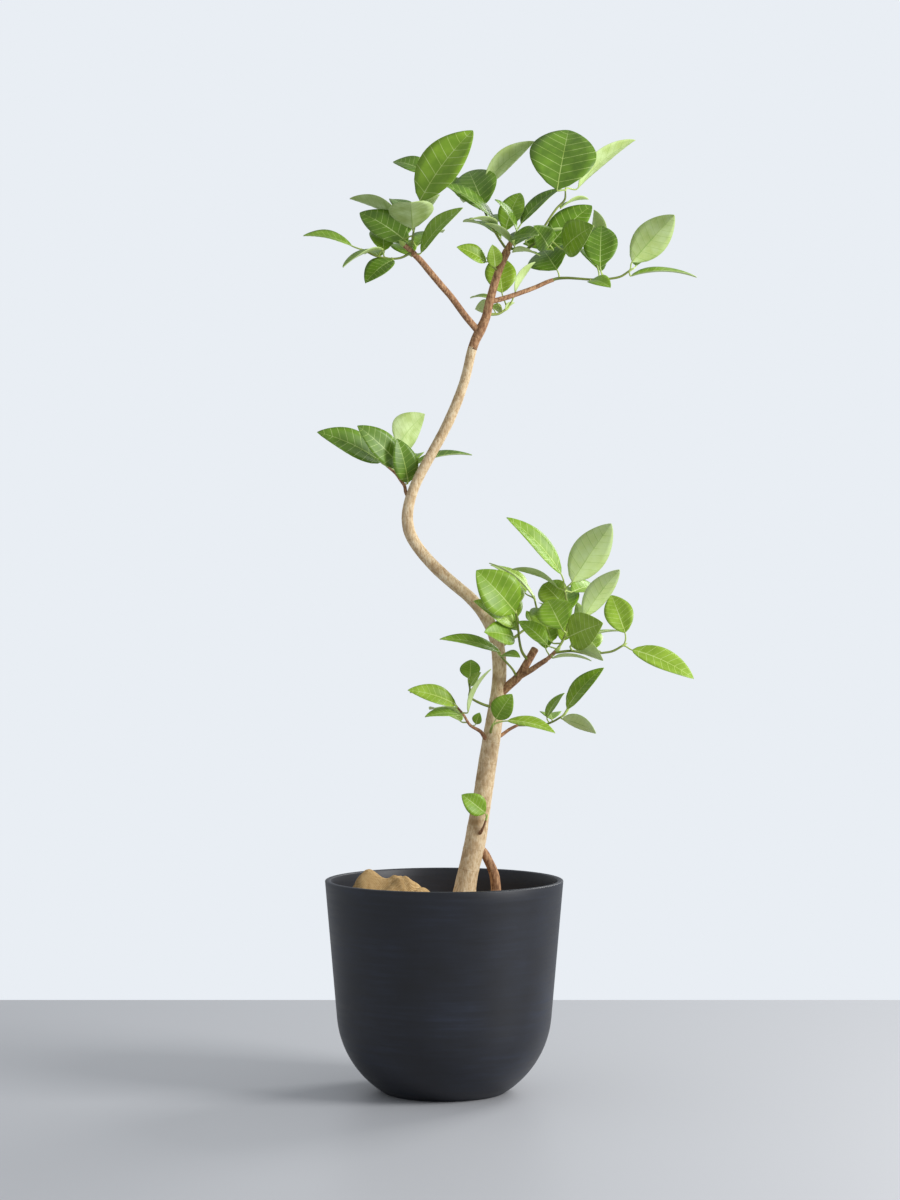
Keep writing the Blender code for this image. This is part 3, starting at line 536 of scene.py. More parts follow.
def route_through(stations):
    """Points about STEP_ALONG apart on a smooth curve through the stations, each x, y, z, radius.

    The curve is a cubic between each two stations, and its slope at a station is that of the
    parabola through the station and its two neighbours.
    """
    knots = np.array([(*as_seen(s.x, s.z, s.depth), s.diameter / 2) for s in stations])
    spans = np.linalg.norm(np.diff(knots[:, :3], axis=0), axis=1)
    chords = np.diff(knots, axis=0) / spans[:, None]
    slopes = np.vstack((chords[:1], chords))
    weight = (spans[:-1] / (spans[:-1] + spans[1:]))[:, None]
    slopes[1:-1] = chords[:-1] * (1 - weight) + chords[1:] * weight
    points = [knots[0]]
    for start, end, leave, arrive, span in zip(knots[:-1], knots[1:], slopes[:-1], slopes[1:], spans):
        count = max(1, round(span / STEP_ALONG))
        points += [cubic(start, end, leave, arrive, span, t) for t in np.arange(1, count + 1) / count]
    return np.array(points)


def fine_route(route, step):
    """The route sampled every step by cubics between its points, as x, y, z, radius, and the
    lengths along it at which it is sampled."""
    length = np.concatenate(([0], np.cumsum(np.linalg.norm(np.diff(route[:, :3], axis=0), axis=1))))
    at = np.linspace(0, length[-1], max(3, int(length[-1] / step)))
    slope = np.gradient(route, length, axis=0)
    span = np.clip(np.searchsorted(length, at, side="right") - 1, 0, len(route) - 2)
    width = (length[span + 1] - length[span])[:, None]
    t = (at[:, None] - length[span][:, None]) / width
    return cubic(route[span], route[span + 1], slope[span], slope[span + 1], width, t), at


def nearest_on(routes, place):
    """The distance to the point of the twigs nearest to a place, that point, and the twig's
    direction there."""
    best = None
    for route in routes:
        for start, end in zip(route[:-1, :3], route[1:, :3]):
            run = end - start
            share = np.clip(np.dot(place - start, run) / np.dot(run, run), 0.0, 1.0)
            point = start + run * share
            distance = np.linalg.norm(place - point)
            if best is None or distance < best[0]:
                best = (distance, point, unit(run))
    return best


# Where the leaves grow

def blade_of(leaf, extra_depth):
    """The blade that is seen as the row says, turned about its midrib by face from the viewer."""
    angle = math.radians(leaf.angle)
    depth = leaf.depth + extra_depth
    foot = as_seen(leaf.x, leaf.z, depth)
    tip = as_seen(leaf.x + leaf.seen * math.cos(angle), leaf.z + leaf.seen * math.sin(angle),
                  depth + leaf.away)
    along = unit(tip - foot)
    to_eye = EYE - foot
    to_eye = unit(to_eye - along * np.dot(to_eye, along))
    skyward = np.cross(along, to_eye)
    if skyward[2] < 0:
        skyward = -skyward
    turn = math.radians(leaf.face)
    return Blade(foot, tip, to_eye * math.cos(turn) + skyward * math.sin(turn), leaf.width)


def blade_half_width(t, width):
    """Half the blade's width at t of its length: a power of a sine, widest at 0.44 of the length."""
    return width / 2 * np.sin(math.pi * np.power(t, 0.85)) ** 0.75


def blade_point(blade, t, across):
    """Point of the blade's middle surface, at t of its length and across from -1 to 1: lifted by a
    parabola along the blade and by a fold on each side of the midrib."""
    chord = blade.tip - blade.foot
    side = np.cross(unit(chord), blade.up)
    lift = np.linalg.norm(chord) * BLADE_ARCH * 4 * t * (1 - t)
    half = blade_half_width(t, blade.width)
    return (blade.foot + chord * t + side * half * across
            + blade.up * (lift + half * abs(across) * BLADE_FOLD))


def blade_cloud(blade, along=7, across=5):
    """Points spread over a blade."""
    return np.array([blade_point(blade, t, side) for t in np.linspace(0.05, 0.97, along)
                     for side in np.linspace(-1, 1, across)])


def extra_depth(mass, x, z):
    """Depth that a mass's shift and lean add at a point seen at x, z."""
    root = mass.twigs[0][0]
    return mass.shift + mass.lean * min(1.0, math.hypot(x - root.x, z - root.z) / LEAN_OVER)


def grow_far_leaves(mass, routes, blades, others, limb_points):
    """Leaves on the far side of a mass, round its twigs by the golden angle.

    One that would show past the leaves in front of it, or come near a limb or another leaf,
    is skipped, so the mass keeps to its own space.
    """
    rng = random.Random(mass.name)
    front = np.vstack([blade_cloud(blade) for blade in blades])
    front_seen = seen_from_front(front)
    taken = np.vstack([front] + [blade_cloud(blade) for blade in others])
    grown = []
    for turn in range(FAR_TRIES):
        if len(grown) == mass.far:
            break
        route = routes[turn % len(routes)]
        place = route[rng.randrange(len(route) // 2, len(route)), :3]
        bearing = turn * GOLDEN_ANGLE
        length = rng.uniform(*FAR_LENGTH)
        rise = rng.uniform(*FAR_RISE)
        along = unit(np.array((math.cos(bearing), abs(math.sin(bearing)) + FAR_BACKWARD, rise)))
        foot = place + along * FAR_PETIOLE
        up = unit(UP - along * along[2])
        blade = Blade(foot, foot + along * length, up, length * FAR_SHAPE)
        cloud = blade_cloud(blade)
        spread = np.linalg.norm(seen_from_front(cloud)[:, None] - front_seen[None], axis=2)
        covered = (spread.min(axis=1) < FAR_COVER).mean()
        limb_gap = (np.linalg.norm(cloud[:, None] - limb_points[None, :, :3], axis=2)
                    - limb_points[None, :, 3])
        leaf_gap = np.linalg.norm(cloud[:, None] - taken[None], axis=2)
        if covered < FAR_COVERED or limb_gap.min() < LIMB_CLEARANCE or leaf_gap.min() < LEAF_CLEARANCE:
            continue
        grown.append(blade)
        taken = np.vstack((taken, cloud))
    return grown


def grow_plant():
    """Every mass's twigs and leaves in place: a list of mass, routes, blades."""
    limb_points = np.vstack([route_through(stations) for stations in LIMBS])
    plans = []
    for mass in MASSES:
        routes = [route_through([s._replace(depth=s.depth + extra_depth(mass, s.x, s.z)) for s in stations])
                  for stations in mass.twigs]
        blades = [blade_of(leaf, extra_depth(mass, leaf.x, leaf.z)) for leaf in mass.leaves]
        plans.append((mass, routes, blades))
    for index, (mass, routes, blades) in enumerate(plans):
        others = [blade for place, plan in enumerate(plans) if place != index for blade in plan[2]]
        blades += grow_far_leaves(mass, routes, blades, others, limb_points)
    return plans


# Surfaces: each gives its points in millimetres, its quads, and UV in metres or face slots

def grid_faces(rows, columns, wrap):
    """Quads of a grid of points, closed across its columns if wrap is true."""
    row, column = np.meshgrid(np.arange(rows - 1), np.arange(columns if wrap else columns - 1),
                              indexing="ij")
    after = (column + 1) % columns
    return np.stack((row * columns + column, row * columns + after, (row + 1) * columns + after,
                     (row + 1) * columns + column), axis=-1).reshape(-1, 4)


def joined(surfaces):
    """Several surfaces as one."""
    shift = np.cumsum([0] + [len(s[0]) for s in surfaces[:-1]])
    return (np.concatenate([s[0] for s in surfaces]),
            np.concatenate([s[1] + d for s, d in zip(surfaces, shift)]),
            np.concatenate([s[2] for s in surfaces]))


def turned_surface(profile, sides):
    """Points and quads of a profile of radius, height turned about Z. It starts and ends near the
    axis, and its two poles stay open there."""
    turn = np.linspace(0, 2 * math.pi, sides, endpoint=False)
    profile = np.asarray(profile)
    verts = np.stack((profile[:, :1] * np.cos(turn), profile[:, :1] * np.sin(turn),
                      np.repeat(profile[:, 1:2], sides, axis=1)), axis=-1)
    return verts.reshape(-1, 3), grid_faces(len(profile), sides, True)


def tube_surface(route, at, sides, relief=None):
    """A tube about a route: each ring lies across the route's direction, and relief(angle, length,
    radius) adds to its radius. It starts in a flat end and finishes in a short dome, each down to
    a ring a fiftieth as wide. at gives each point's length along the route. Its quads face inwards."""
    along = np.gradient(route[:, :3], axis=0)
    along /= np.linalg.norm(along, axis=1)[:, None]
    across = np.eye(3)[int(np.argmin(np.abs(along).mean(axis=0)))]
    side = np.cross(along, across)
    side /= np.linalg.norm(side, axis=1)[:, None]
    other = np.cross(along, side)
    turn = np.linspace(0, 2 * math.pi, sides, endpoint=False)
    radius = np.repeat(route[:, 3:4], sides, axis=1)
    if relief is not None:
        radius = radius + relief(turn[None, :], at[:, None], route[:, 3:4])
    rings = (route[:, None, :3] + radius[..., None] * (side[:, None] * np.cos(turn)[None, :, None]
                                                       + other[:, None] * np.sin(turn)[None, :, None]))
    foot, end = route[0], route[-1]
    tail = foot[:3] - along[0] * foot[3] * END_RING
    head = end[:3] + along[-1] * end[3] * DOME_TOP
    first = tail + (rings[0] - tail) * END_RING
    last = head + (rings[-1] - head) * END_RING
    shoulder = end[:3] + along[-1] * end[3] * SHOULDER_HEIGHT + (rings[-1] - end[:3]) * SHOULDER_WIDTH
    rings = np.concatenate((first[None], rings, shoulder[None], last[None]))
    lengths = np.concatenate((at[:1], at, at[-1:], at[-1:]))
    uv = np.stack((np.repeat(turn[None] / (2 * math.pi), len(rings), axis=0),
                   np.repeat(lengths[:, None] * MM, sides, axis=1)), axis=-1)
    return rings.reshape(-1, 3), grid_faces(len(rings), sides, True)[:, ::-1], uv.reshape(-1, 2)


def bark_relief(turn, length, radius):
    """Rings where leaves once sat, narrow bells about RING_SPACING apart, with soft lumps and
    furrows between them, which are products of slow waves round and along the limb."""
    swing = 0.25 * np.sin(turn + length / 40)
    ring = np.exp(-(np.sin(length * math.pi / RING_SPACING + swing) / 0.12) ** 2)
    lumps = np.sin(2 * turn + length / 19) * np.sin(length / 31 + 1.3) + 0.6 * np.sin(3 * turn - length / 11)
    furrow = np.sin(11 * turn + 2.2 * np.sin(length / 13)) * np.sin(length / 7.5 + turn)
    return radius * (RING_RISE * ring + LUMP_RISE * lumps + FURROW_RISE * furrow)


def bark_tube(route, step, sides):
    """A limb or twig with its bark, its rings a step apart."""
    return tube_surface(*fine_route(route, step), sides, bark_relief)


def petiole_route(blade, routes):
    """Middle line of a leaf stalk: a cubic from the nearest twig, leaving along it, into the blade."""
    distance, root, along_twig = nearest_on(routes, blade.foot)
    inside = blade_point(blade, PETIOLE_SINK, 0.0)
    along = unit(inside - blade.foot)
    handle = distance / 3
    corners = np.array((root, root + along_twig * handle, blade.foot - along * handle, blade.foot))
    t = np.linspace(0, 1, PETIOLE_POINTS)[:, None]
    points = ((1 - t) ** 3 * corners[0] + 3 * t * (1 - t) ** 2 * corners[1]
              + 3 * t * t * (1 - t) * corners[2] + t ** 3 * corners[3])
    points = np.vstack((points, inside))
    length = np.linalg.norm(blade.tip - blade.foot)
    radius = PETIOLE_RADIUS * min(1.0, 0.55 + length / 120)
    thick, thin = PETIOLE_TAPER
    return np.column_stack((points, np.linspace(radius * thick, radius * thin, len(points))))


def bud_route(route):
    """A pointed bud in its sheath at a twig's tip: swollen by a sine near its foot, fine at its end."""
    along = unit(route[-1, :3] - route[-2, :3])
    t = np.linspace(0, 1, BUD_POINTS)[:, None]
    points = route[-1, :3] + along * (BUD_LENGTH * t - BUD_SINK)
    return np.column_stack((points, route[-1, 3] * (1.0 + 0.35 * np.sin(math.pi * t) - 0.85 * t ** 1.5)))


def blade_template():
    """Places along a blade: a pair at each side vein and one between veins. Also which strips
    between two places are veins, and which places lie on a vein."""
    veins = np.linspace(*VEIN_SPAN, VEIN_PAIRS)
    rows = np.sort(np.concatenate((veins - VEIN_SHARE / 2, veins + VEIN_SHARE / 2,
                                   (veins[1:] + veins[:-1]) / 2, BLADE_ENDS)))
    is_vein = (np.abs(rows[:-1, None] + VEIN_SHARE / 2 - veins[None]) < 1e-6).any(axis=1)
    on_vein = (np.abs(np.abs(rows[:, None] - veins[None]) - VEIN_SHARE / 2) < 1e-6).any(axis=1)
    return rows, is_vein, on_vein


def blade_surface(blade, wave, thickness):
    """Points, quads and face slots of one leaf.

    Each point lies at t along the chord and u across it, lifted by a parabola along the blade,
    by a fold on each side of the midrib and by a slow wave at the margin. Rows sweep forward
    to the margin as the side veins do. The under side is a copy lowered by the thickness, with
    the midrib and veins standing proud.
    """
    rows, is_vein, on_vein = blade_template()
    chord = blade.tip - blade.foot
    length = np.linalg.norm(chord)
    side = np.cross(chord / length, blade.up)
    s, a = np.meshgrid(rows, BLADE_COLUMNS, indexing="ij")
    t = s + VEIN_SWEEP * np.abs(a) * 4 * s * (1 - s) * (1 - 0.4 * s)
    half = np.maximum(blade_half_width(np.clip(t, 0, 1), blade.width), TIP_HALF)
    rib = np.minimum(RIB_HALF * (1.15 - t), half * 0.4)
    on_rib = np.abs(a) < 0.1
    u = np.where(on_rib, np.sign(a) * rib, a * half)
    lift = length * BLADE_ARCH * 4 * t * (1 - t) + np.abs(u) * BLADE_FOLD
    lift += MARGIN_WAVE * blade.width * np.abs(a) ** 2 * np.sin(5.5 * t + wave) * 4 * t * (1 - t)
    pucker = np.where(on_vein[:, None], -VEIN_DIP, PUCKER) * (1 - np.abs(a)) * (~on_rib)
    top = (blade.foot + chord * t[..., None] + side * u[..., None]
           + blade.up * (lift + pucker + thickness / 2)[..., None])
    proud = np.where(on_rib, RIB_PROUD, 0.0) + np.where(on_vein[:, None] & ~on_rib, VEIN_PROUD, 0.0)
    thinned = np.where(np.abs(a) > 0.99, EDGE_THIN, 0.0)
    under = top - blade.up * (thickness * (1 - thinned) + proud)[..., None]
    count, columns = s.shape
    shift = count * columns
    upper = grid_faces(count, columns, False)
    lower = upper[:, ::-1] + shift
    lined = np.repeat(is_vein, columns - 1) | np.tile(np.arange(columns - 1) == columns // 2 - 1, count - 1)
    first = np.arange(count - 1) * columns
    last = first + columns - 1
    foot = np.arange(columns - 1)
    tip = foot + (count - 1) * columns
    sides = ((first, first + columns), (last + columns, last), (foot + 1, foot), (tip, tip + 1))
    edges = np.concatenate([np.column_stack(ends) for ends in sides])
    rims = np.column_stack((edges, edges[:, ::-1] + shift))
    slots = np.concatenate((np.where(lined, VEIN_ABOVE, UPPER), np.where(lined, VEIN_UNDER, UNDER),
                            np.full(len(rims), UNDER)))
    return (np.concatenate((top.reshape(-1, 3), under.reshape(-1, 3))),
            np.concatenate((upper, lower, rims)), slots)


def pot_side(inset, points):
    """Profile of the planter's side, moved in by inset: an arc at the foot, then a leaning line."""
    line_radius = RIM_RADIUS - (POT_HEIGHT - CURVE_HEIGHT) * math.tan(SIDE_SLOPE)
    centre = line_radius - CURVE_RADIUS / math.cos(SIDE_SLOPE)
    radius = CURVE_RADIUS - inset
    foot = 0.0 if inset == 0 else FLOOR_HEIGHT + (inset - POT_WALL)
    angles = np.linspace(-math.asin((CURVE_HEIGHT - foot) / radius), -SIDE_SLOPE, points)
    arc = [(centre + radius * math.cos(a), CURVE_HEIGHT + radius * math.sin(a)) for a in angles]
    rim = RIM_RADIUS - inset / math.cos(SIDE_SLOPE)
    heights = np.linspace(arc[-1][1], POT_HEIGHT - LIP_ROUND, LINE_POINTS)[1:]
    return arc + [(rim - (POT_HEIGHT - height) * math.tan(SIDE_SLOPE), height) for height in heights]


def cloth_height(x, y):
    """Height of the cloth over the soil: a sum of bells, less folds some 40 mm apart, creases
    16 mm apart and sharp pleats 24 mm apart, all of them deeper on the heaps."""
    rise = np.zeros_like(x)
    for cx, cy, height, spread in CLOTH_HEAPS:
        rise = rise + height * np.exp(-((x - cx) ** 2 + (y - cy) ** 2) / (2 * spread ** 2))
    reach = np.clip(rise / FULL_FOLDS_AT, FOLDS_ON_FLAT, 1.0)
    folds = (np.sin(0.13 * x + 0.06 * y + 1.6 * np.sin(y / 19))
             + 0.6 * np.sin(0.05 * x - 0.17 * y + 1.2 * np.sin(x / 15)))
    creases = np.sin(0.33 * x + 0.21 * y + 2.0 * np.sin(x / 9 + y / 23))
    pleats = np.abs(np.sin(0.085 * x - 0.10 * y + 1.4 * np.sin(x / 21 + 0.7)))
    waves = FOLD_DEPTH * folds + CREASE_DEPTH * creases + PLEAT_DEPTH * (1 - pleats) ** 2
    return rise - reach * (FOLDS_SINK + waves)


# Meshes

def placed(name, data, location=(0, 0, 0), turn=(0, 0, 0)):
    """An object in the scene."""
    made = bpy.data.objects.new(name, data)
    made.location = location
    made.rotation_euler = turn
    bpy.context.scene.collection.objects.link(made)
    return made


def mesh_object(name, verts, faces, materials, face_slots=None, uv=None):
    """A smooth object at the origin from points in millimetres; face_slots deals its materials to faces."""
    mesh = bpy.data.meshes.new(name)
    mesh.from_pydata(np.asarray(verts, float) * MM, [], np.asarray(faces).tolist())
    for made in materials:
        mesh.materials.append(made)
    if face_slots is not None:
        mesh.polygons.foreach_set("material_index", np.asarray(face_slots, dtype=np.int32))
    if uv is not None:
        layer = mesh.uv_layers.new(name="UVMap")
        index = np.empty(len(mesh.loops), dtype=np.int32)
        mesh.loops.foreach_get("vertex_index", index)
        layer.data.foreach_set("uv", np.asarray(uv, dtype=np.float32)[index].ravel())
    mesh.shade_smooth()
    made = placed(name, mesh)
    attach(made, BODY)
    return made


def tube_piece(name, tubes, skin, slot, *nodes):
    """One piece from several tubes, with its material and the CAD nodes that it stands for. slot is not
    used.
    """
    verts, faces, uv = joined(tubes)
    piece = mesh_object(name, verts, faces, [skin], uv=uv)
    if nodes:
        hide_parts(*nodes)


# Materials, each named for what the real surface is

def linear(hex_colour):
    """An sRGB hex colour as linear red, green and blue."""
    parts = [int(hex_colour[i:i + 2], 16) / 255 for i in (1, 3, 5)]
    return tuple(c / 12.92 if c <= 0.04045 else ((c + 0.055) / 1.055) ** 2.4 for c in parts)


def feed(tree, socket, source):
    """Link a node's first output, or another output, into a socket, or set the socket's value."""
    if isinstance(source, bpy.types.Node):
        source = source.outputs[0]
    if isinstance(source, bpy.types.NodeSocket):
        tree.links.new(source, socket)
    else:
        socket.default_value = source


def node(tree, kind, *inputs, stops=(), **settings):
    """Add a node. inputs feed its first sockets. A setting is one of its properties or, if it has
    none of that name, feeds the socket of that name. stops are a ramp's (place, hex colour)."""
    made = tree.nodes.new("ShaderNode" + kind)
    for name, value in settings.items():
        if hasattr(made, name):
            setattr(made, name, value)
        else:
            feed(tree, made.inputs[name.replace("_", " ")], value)
    for socket, source in zip(made.inputs, inputs):
        feed(tree, socket, source)
    for place, _ in stops[2:]:
        made.color_ramp.elements.new(place)
    for index, (place, colour) in enumerate(stops):
        made.color_ramp.elements[index].position = place
        made.color_ramp.elements[index].color = (*linear(colour), 1.0)
    return made


def new_material(name, roughness, specular):
    """A material with its node tree and the sockets of its Principled shader."""
    made = bpy.data.materials.new(name)
    made.use_nodes = True
    skin = made.node_tree.nodes["Principled BSDF"].inputs
    skin["Roughness"].default_value = roughness
    skin["Specular IOR Level"].default_value = specular
    return made, made.node_tree, skin


def charcoal_resin():
    """Fibre-filled resin cast in a mould and rubbed down: matt, with faint level brush marks."""
    made, tree, skin = new_material("charcoal_cast_resin", 0.42, 0.5)
    place = node(tree, "TexCoord").outputs["Object"]
    stretched = node(tree, "Mapping", place, Scale=(6.0, 6.0, 90.0))
    brushed = node(tree, "TexNoise", stretched, Scale=2.2, Detail=6.0, Roughness=0.6)
    cloud = node(tree, "TexNoise", place, Scale=14.0, Detail=4.0)
    both = node(tree, "Math", brushed, cloud, operation="MULTIPLY")
    stops = ((0.12, "#0e1018"), (0.28, "#151924"), (0.45, "#1f2534"))
    feed(tree, skin["Base Color"], node(tree, "ValToRGB", both, stops=stops))
    feed(tree, skin["Roughness"], node(tree, "MapRange", brushed, To_Min=0.36, To_Max=0.56))
    feed(tree, skin["Normal"], node(tree, "Bump", Height=brushed, Strength=0.12, Distance=0.0006))
    return made


def potting_mix():
    """Moist peat and bark crumbs of about 3 mm: dark, rough and lumpy."""
    made, tree, skin = new_material("potting_mix", 0.95, 0.2)
    place = node(tree, "TexCoord").outputs["Object"]
    crumbs = node(tree, "TexVoronoi", place, Scale=320.0)
    stops = ((0.0, "#3a2c20"), (0.5, "#1d1510"), (1.0, "#0c0907"))
    feed(tree, skin["Base Color"], node(tree, "ValToRGB", crumbs, stops=stops))
    feed(tree, skin["Normal"], node(tree, "Bump", Height=crumbs, Strength=0.8, Distance=0.002))
    return made


def jute_weave():
    """Plain-woven jute, hairy and dull: waves along U and V, which run in metres, make its threads."""
    made, tree, skin = new_material("woven_jute", 0.92, 0.15)
    uv = node(tree, "TexCoord").outputs["UV"]
    parts = node(tree, "SeparateXYZ", uv).outputs
    waves = []
    for axis in ("X", "Y"):
        turns = node(tree, "Math", parts[axis], 2 * math.pi / (THREAD_SPACING * MM), operation="MULTIPLY")
        waves.append(node(tree, "Math", turns, operation="SINE"))
    weave = node(tree, "Math", *waves, operation="MULTIPLY")
    level = node(tree, "MapRange", weave, From_Min=-1.0)
    hairs = node(tree, "TexNoise", uv, Scale=260.0, Detail=5.0)
    both = node(tree, "Math", level, hairs, operation="MULTIPLY")
    stops = ((0.05, "#86683f"), (0.25, "#bd9965"), (0.5, "#dfc392"))
    feed(tree, skin["Base Color"], node(tree, "ValToRGB", both, stops=stops))
    feed(tree, skin["Normal"], node(tree, "Bump", Height=both, Strength=0.7, Distance=0.0012))
    return made


def fig_bark(name, pale, middle, dark, older):
    """Thin smooth fig bark: fine cracks of 1 to 2 mm, older browned patches, and dark rings
    RING_SPACING apart along V, which runs in metres along the limb.

    The colours of a Mix node are its sockets 6 and 7, and come out at 2.
    """
    made, tree, skin = new_material(name, 0.82, 0.3)
    coords = node(tree, "TexCoord").outputs
    grain = node(tree, "Mapping", coords["Object"], Scale=(1.0, 1.0, 0.35))
    fine = node(tree, "TexNoise", grain, Scale=420.0, Detail=6.0, Roughness=0.65)
    young = node(tree, "ValToRGB", fine, stops=((0.3, dark), (0.47, middle), (0.62, pale)))
    patches = node(tree, "TexNoise", coords["Object"], Scale=55.0, Detail=3.0)
    old = node(tree, "MapRange", patches, From_Min=0.52, From_Max=0.78)
    browned = node(tree, "Mix", old, data_type="RGBA")
    feed(tree, browned.inputs[6], young)
    feed(tree, browned.inputs[7], (*linear(older), 1.0))
    height = node(tree, "SeparateXYZ", coords["UV"]).outputs["Y"]
    turns = node(tree, "Math", height, math.pi / (RING_SPACING * MM), operation="MULTIPLY")
    wave = node(tree, "Math", turns, operation="SINE")
    off_ring = node(tree, "Math", wave, operation="ABSOLUTE")
    ring_line = node(tree, "MapRange", off_ring, From_Max=0.07, To_Min=0.45)
    ringed = node(tree, "Mix", ring_line, data_type="RGBA")
    feed(tree, ringed.inputs[6], (*linear(dark), 1.0))
    feed(tree, ringed.inputs[7], browned.outputs[2])
    feed(tree, skin["Base Color"], ringed.outputs[2])
    feed(tree, skin["Normal"], node(tree, "Bump", Height=fine, Strength=0.55, Distance=0.0012))
    return made


def young_bark():
    """The redder bark of wood two or three years old, made once and shared."""
    return (bpy.data.materials.get("young_fig_bark")
            or fig_bark("young_fig_bark", "#c39a72", "#9a7050", "#5b3f2a", "#74503a"))


def living_skin(name, deep, light, roughness, scale=60.0, gloss=0.45):
    """Waxy living leaf or shoot skin: soft patches of two near greens, with a satin wax gloss."""
    made, tree, skin = new_material(name, roughness, gloss)
    patches = node(tree, "TexNoise", node(tree, "TexCoord").outputs["Object"], Scale=scale, Detail=3.0)
    feed(tree, skin["Base Color"], node(tree, "ValToRGB", patches, stops=((0.35, deep), (0.65, light))))
    return made


# The add-on

class PottedTreeSizes(bpy.types.PropertyGroup):
    """Sizes that a user would change"""
    leaf_thickness: bpy.props.FloatProperty(
        name="Leaf thickness", description="Thickness of a leaf blade",
        default=BLADE_THICKNESS * MM, unit="LENGTH")
    cloth_thickness: bpy.props.FloatProperty(
        name="Cloth thickness", description="Thickness of the jute cloth",
        default=CLOTH_THICKNESS * MM, unit="LENGTH")
    bark_step: bpy.props.FloatProperty(
        name="Bark detail", description="Spacing of the rings in the mesh of the stem and boughs",
        default=BARK_STEP * MM, unit="LENGTH")


class PottedTreeColours(bpy.types.PropertyGroup):
    """Colours that a user would change"""
    floor: bpy.props.FloatVectorProperty(
        name="Floor", description="Colour of the floor",
        subtype="COLOR", size=3, default=linear("#b9babd"))
    wall: bpy.props.FloatVectorProperty(
        name="Surroundings", description="Colour of the light all round",
        subtype="COLOR", size=3, default=linear("#e9eef4"))


class POTTED_OT_stage(bpy.types.Operator):
    """Set the floor, the soft light and the camera"""
    bl_idname = "potted.stage"
    bl_label = "Stage"

    def execute(self, context):
        scene = context.scene
        colours = scene.potted_colours
        plaster, _, skin = new_material("pale_plaster_floor", 0.45, 0.4)
        skin["Base Color"].default_value = (*colours.floor, 1.0)
        mesh = bpy.data.meshes.new("floor")
        corners = ((-1, -1), (1, -1), (1, 1), (-1, 1))
        mesh.from_pydata([(FLOOR_HALF_X * x, FLOOR_HALF_Y * y, 0) for x, y in corners], [], [(0, 1, 2, 3)])
        mesh.materials.append(plaster)
        floor = placed("floor", mesh)
        world = bpy.data.worlds.new("soft_room_light")
        world.use_nodes = True
        tree = world.node_tree
        seen = tree.nodes["Background"]
        seen.inputs["Color"].default_value = (*colours.wall, 1.0)
        dim = node(tree, "Background", Color=(*colours.wall, 1.0), Strength=ROOM_LIGHT)
        to_camera = node(tree, "LightPath").outputs["Is Camera Ray"]
        both = node(tree, "MixShader", to_camera, dim, seen)
        feed(tree, tree.nodes["World Output"].inputs["Surface"], both)
        scene.world = world
        for name, place, size, power in WINDOWS:
            light = bpy.data.lights.new(name, "AREA")
            light.size = size
            light.energy = power
            placed(name, light, place, (LIT_POINT - Vector(place)).to_track_quat("-Z", "Y").to_euler())
        camera = bpy.data.cameras.new("viewer")
        camera.lens = LENS
        camera.sensor_width = SENSOR
        scene.camera = placed("viewer", camera, EYE * MM, (math.radians(90), 0, 0))
        scene.view_settings.view_transform = "Standard"
        return {"FINISHED"}


class POTTED_OT_planter(bpy.types.Operator):
    """Turn the planter with its rounded lip"""
    bl_idname = "potted.planter"
    bl_label = "Planter"

    def execute(self, context):
        outside = pot_side(0.0, 24)
        inside = pot_side(POT_WALL, 20)
        middle = (outside[-1][0] + inside[-1][0]) / 2
        half = (outside[-1][0] - inside[-1][0]) / 2
        lip = [(middle + half * math.cos(a), POT_HEIGHT - LIP_ROUND + LIP_ROUND * math.sin(a))
               for a in np.linspace(0, math.pi, LIP_POINTS)[1:-1]]
        profile = [(AXIS_RADIUS, 0.0), (FOOT_RING, 0.0), *outside, *lip, *reversed(inside),
                   (FOOT_RING, FLOOR_HEIGHT), (AXIS_RADIUS, FLOOR_HEIGHT)]
        verts, faces = turned_surface(profile, POT_SIDES)
        pot = mesh_object("planter", verts, faces, [charcoal_resin()])
        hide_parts("pot")
        return {"FINISHED"}


class POTTED_OT_soil(bpy.types.Operator):
    """Fill the planter with potting mix, rippled and lumpy by crossed waves on top"""
    bl_idname = "potted.soil"
    bl_label = "Potting mix"

    def execute(self, context):
        side = [row for row in pot_side(POT_WALL + GAP, 16) if row[1] < SOIL_TOP]
        top = [(r, SOIL_TOP + SOIL_RIPPLE * math.sin(r / 3))
               for r in np.linspace(side[-1][0], AXIS_RADIUS, SOIL_RINGS)]
        verts, faces = turned_surface([(AXIS_RADIUS, side[0][1]), *side, *top], SOIL_SIDES)
        on_top = verts[:, 2] > SOIL_TOP - 1
        x, y, _ = verts[on_top].T
        verts[on_top, 2] += SOIL_LUMPS * np.sin(x / 2.7) * np.sin(y / 3.1 + 2 * np.arctan2(y, x))
        soil = mesh_object("potting_mix", verts, faces, [potting_mix()])
        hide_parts("soil")
        return {"FINISHED"}


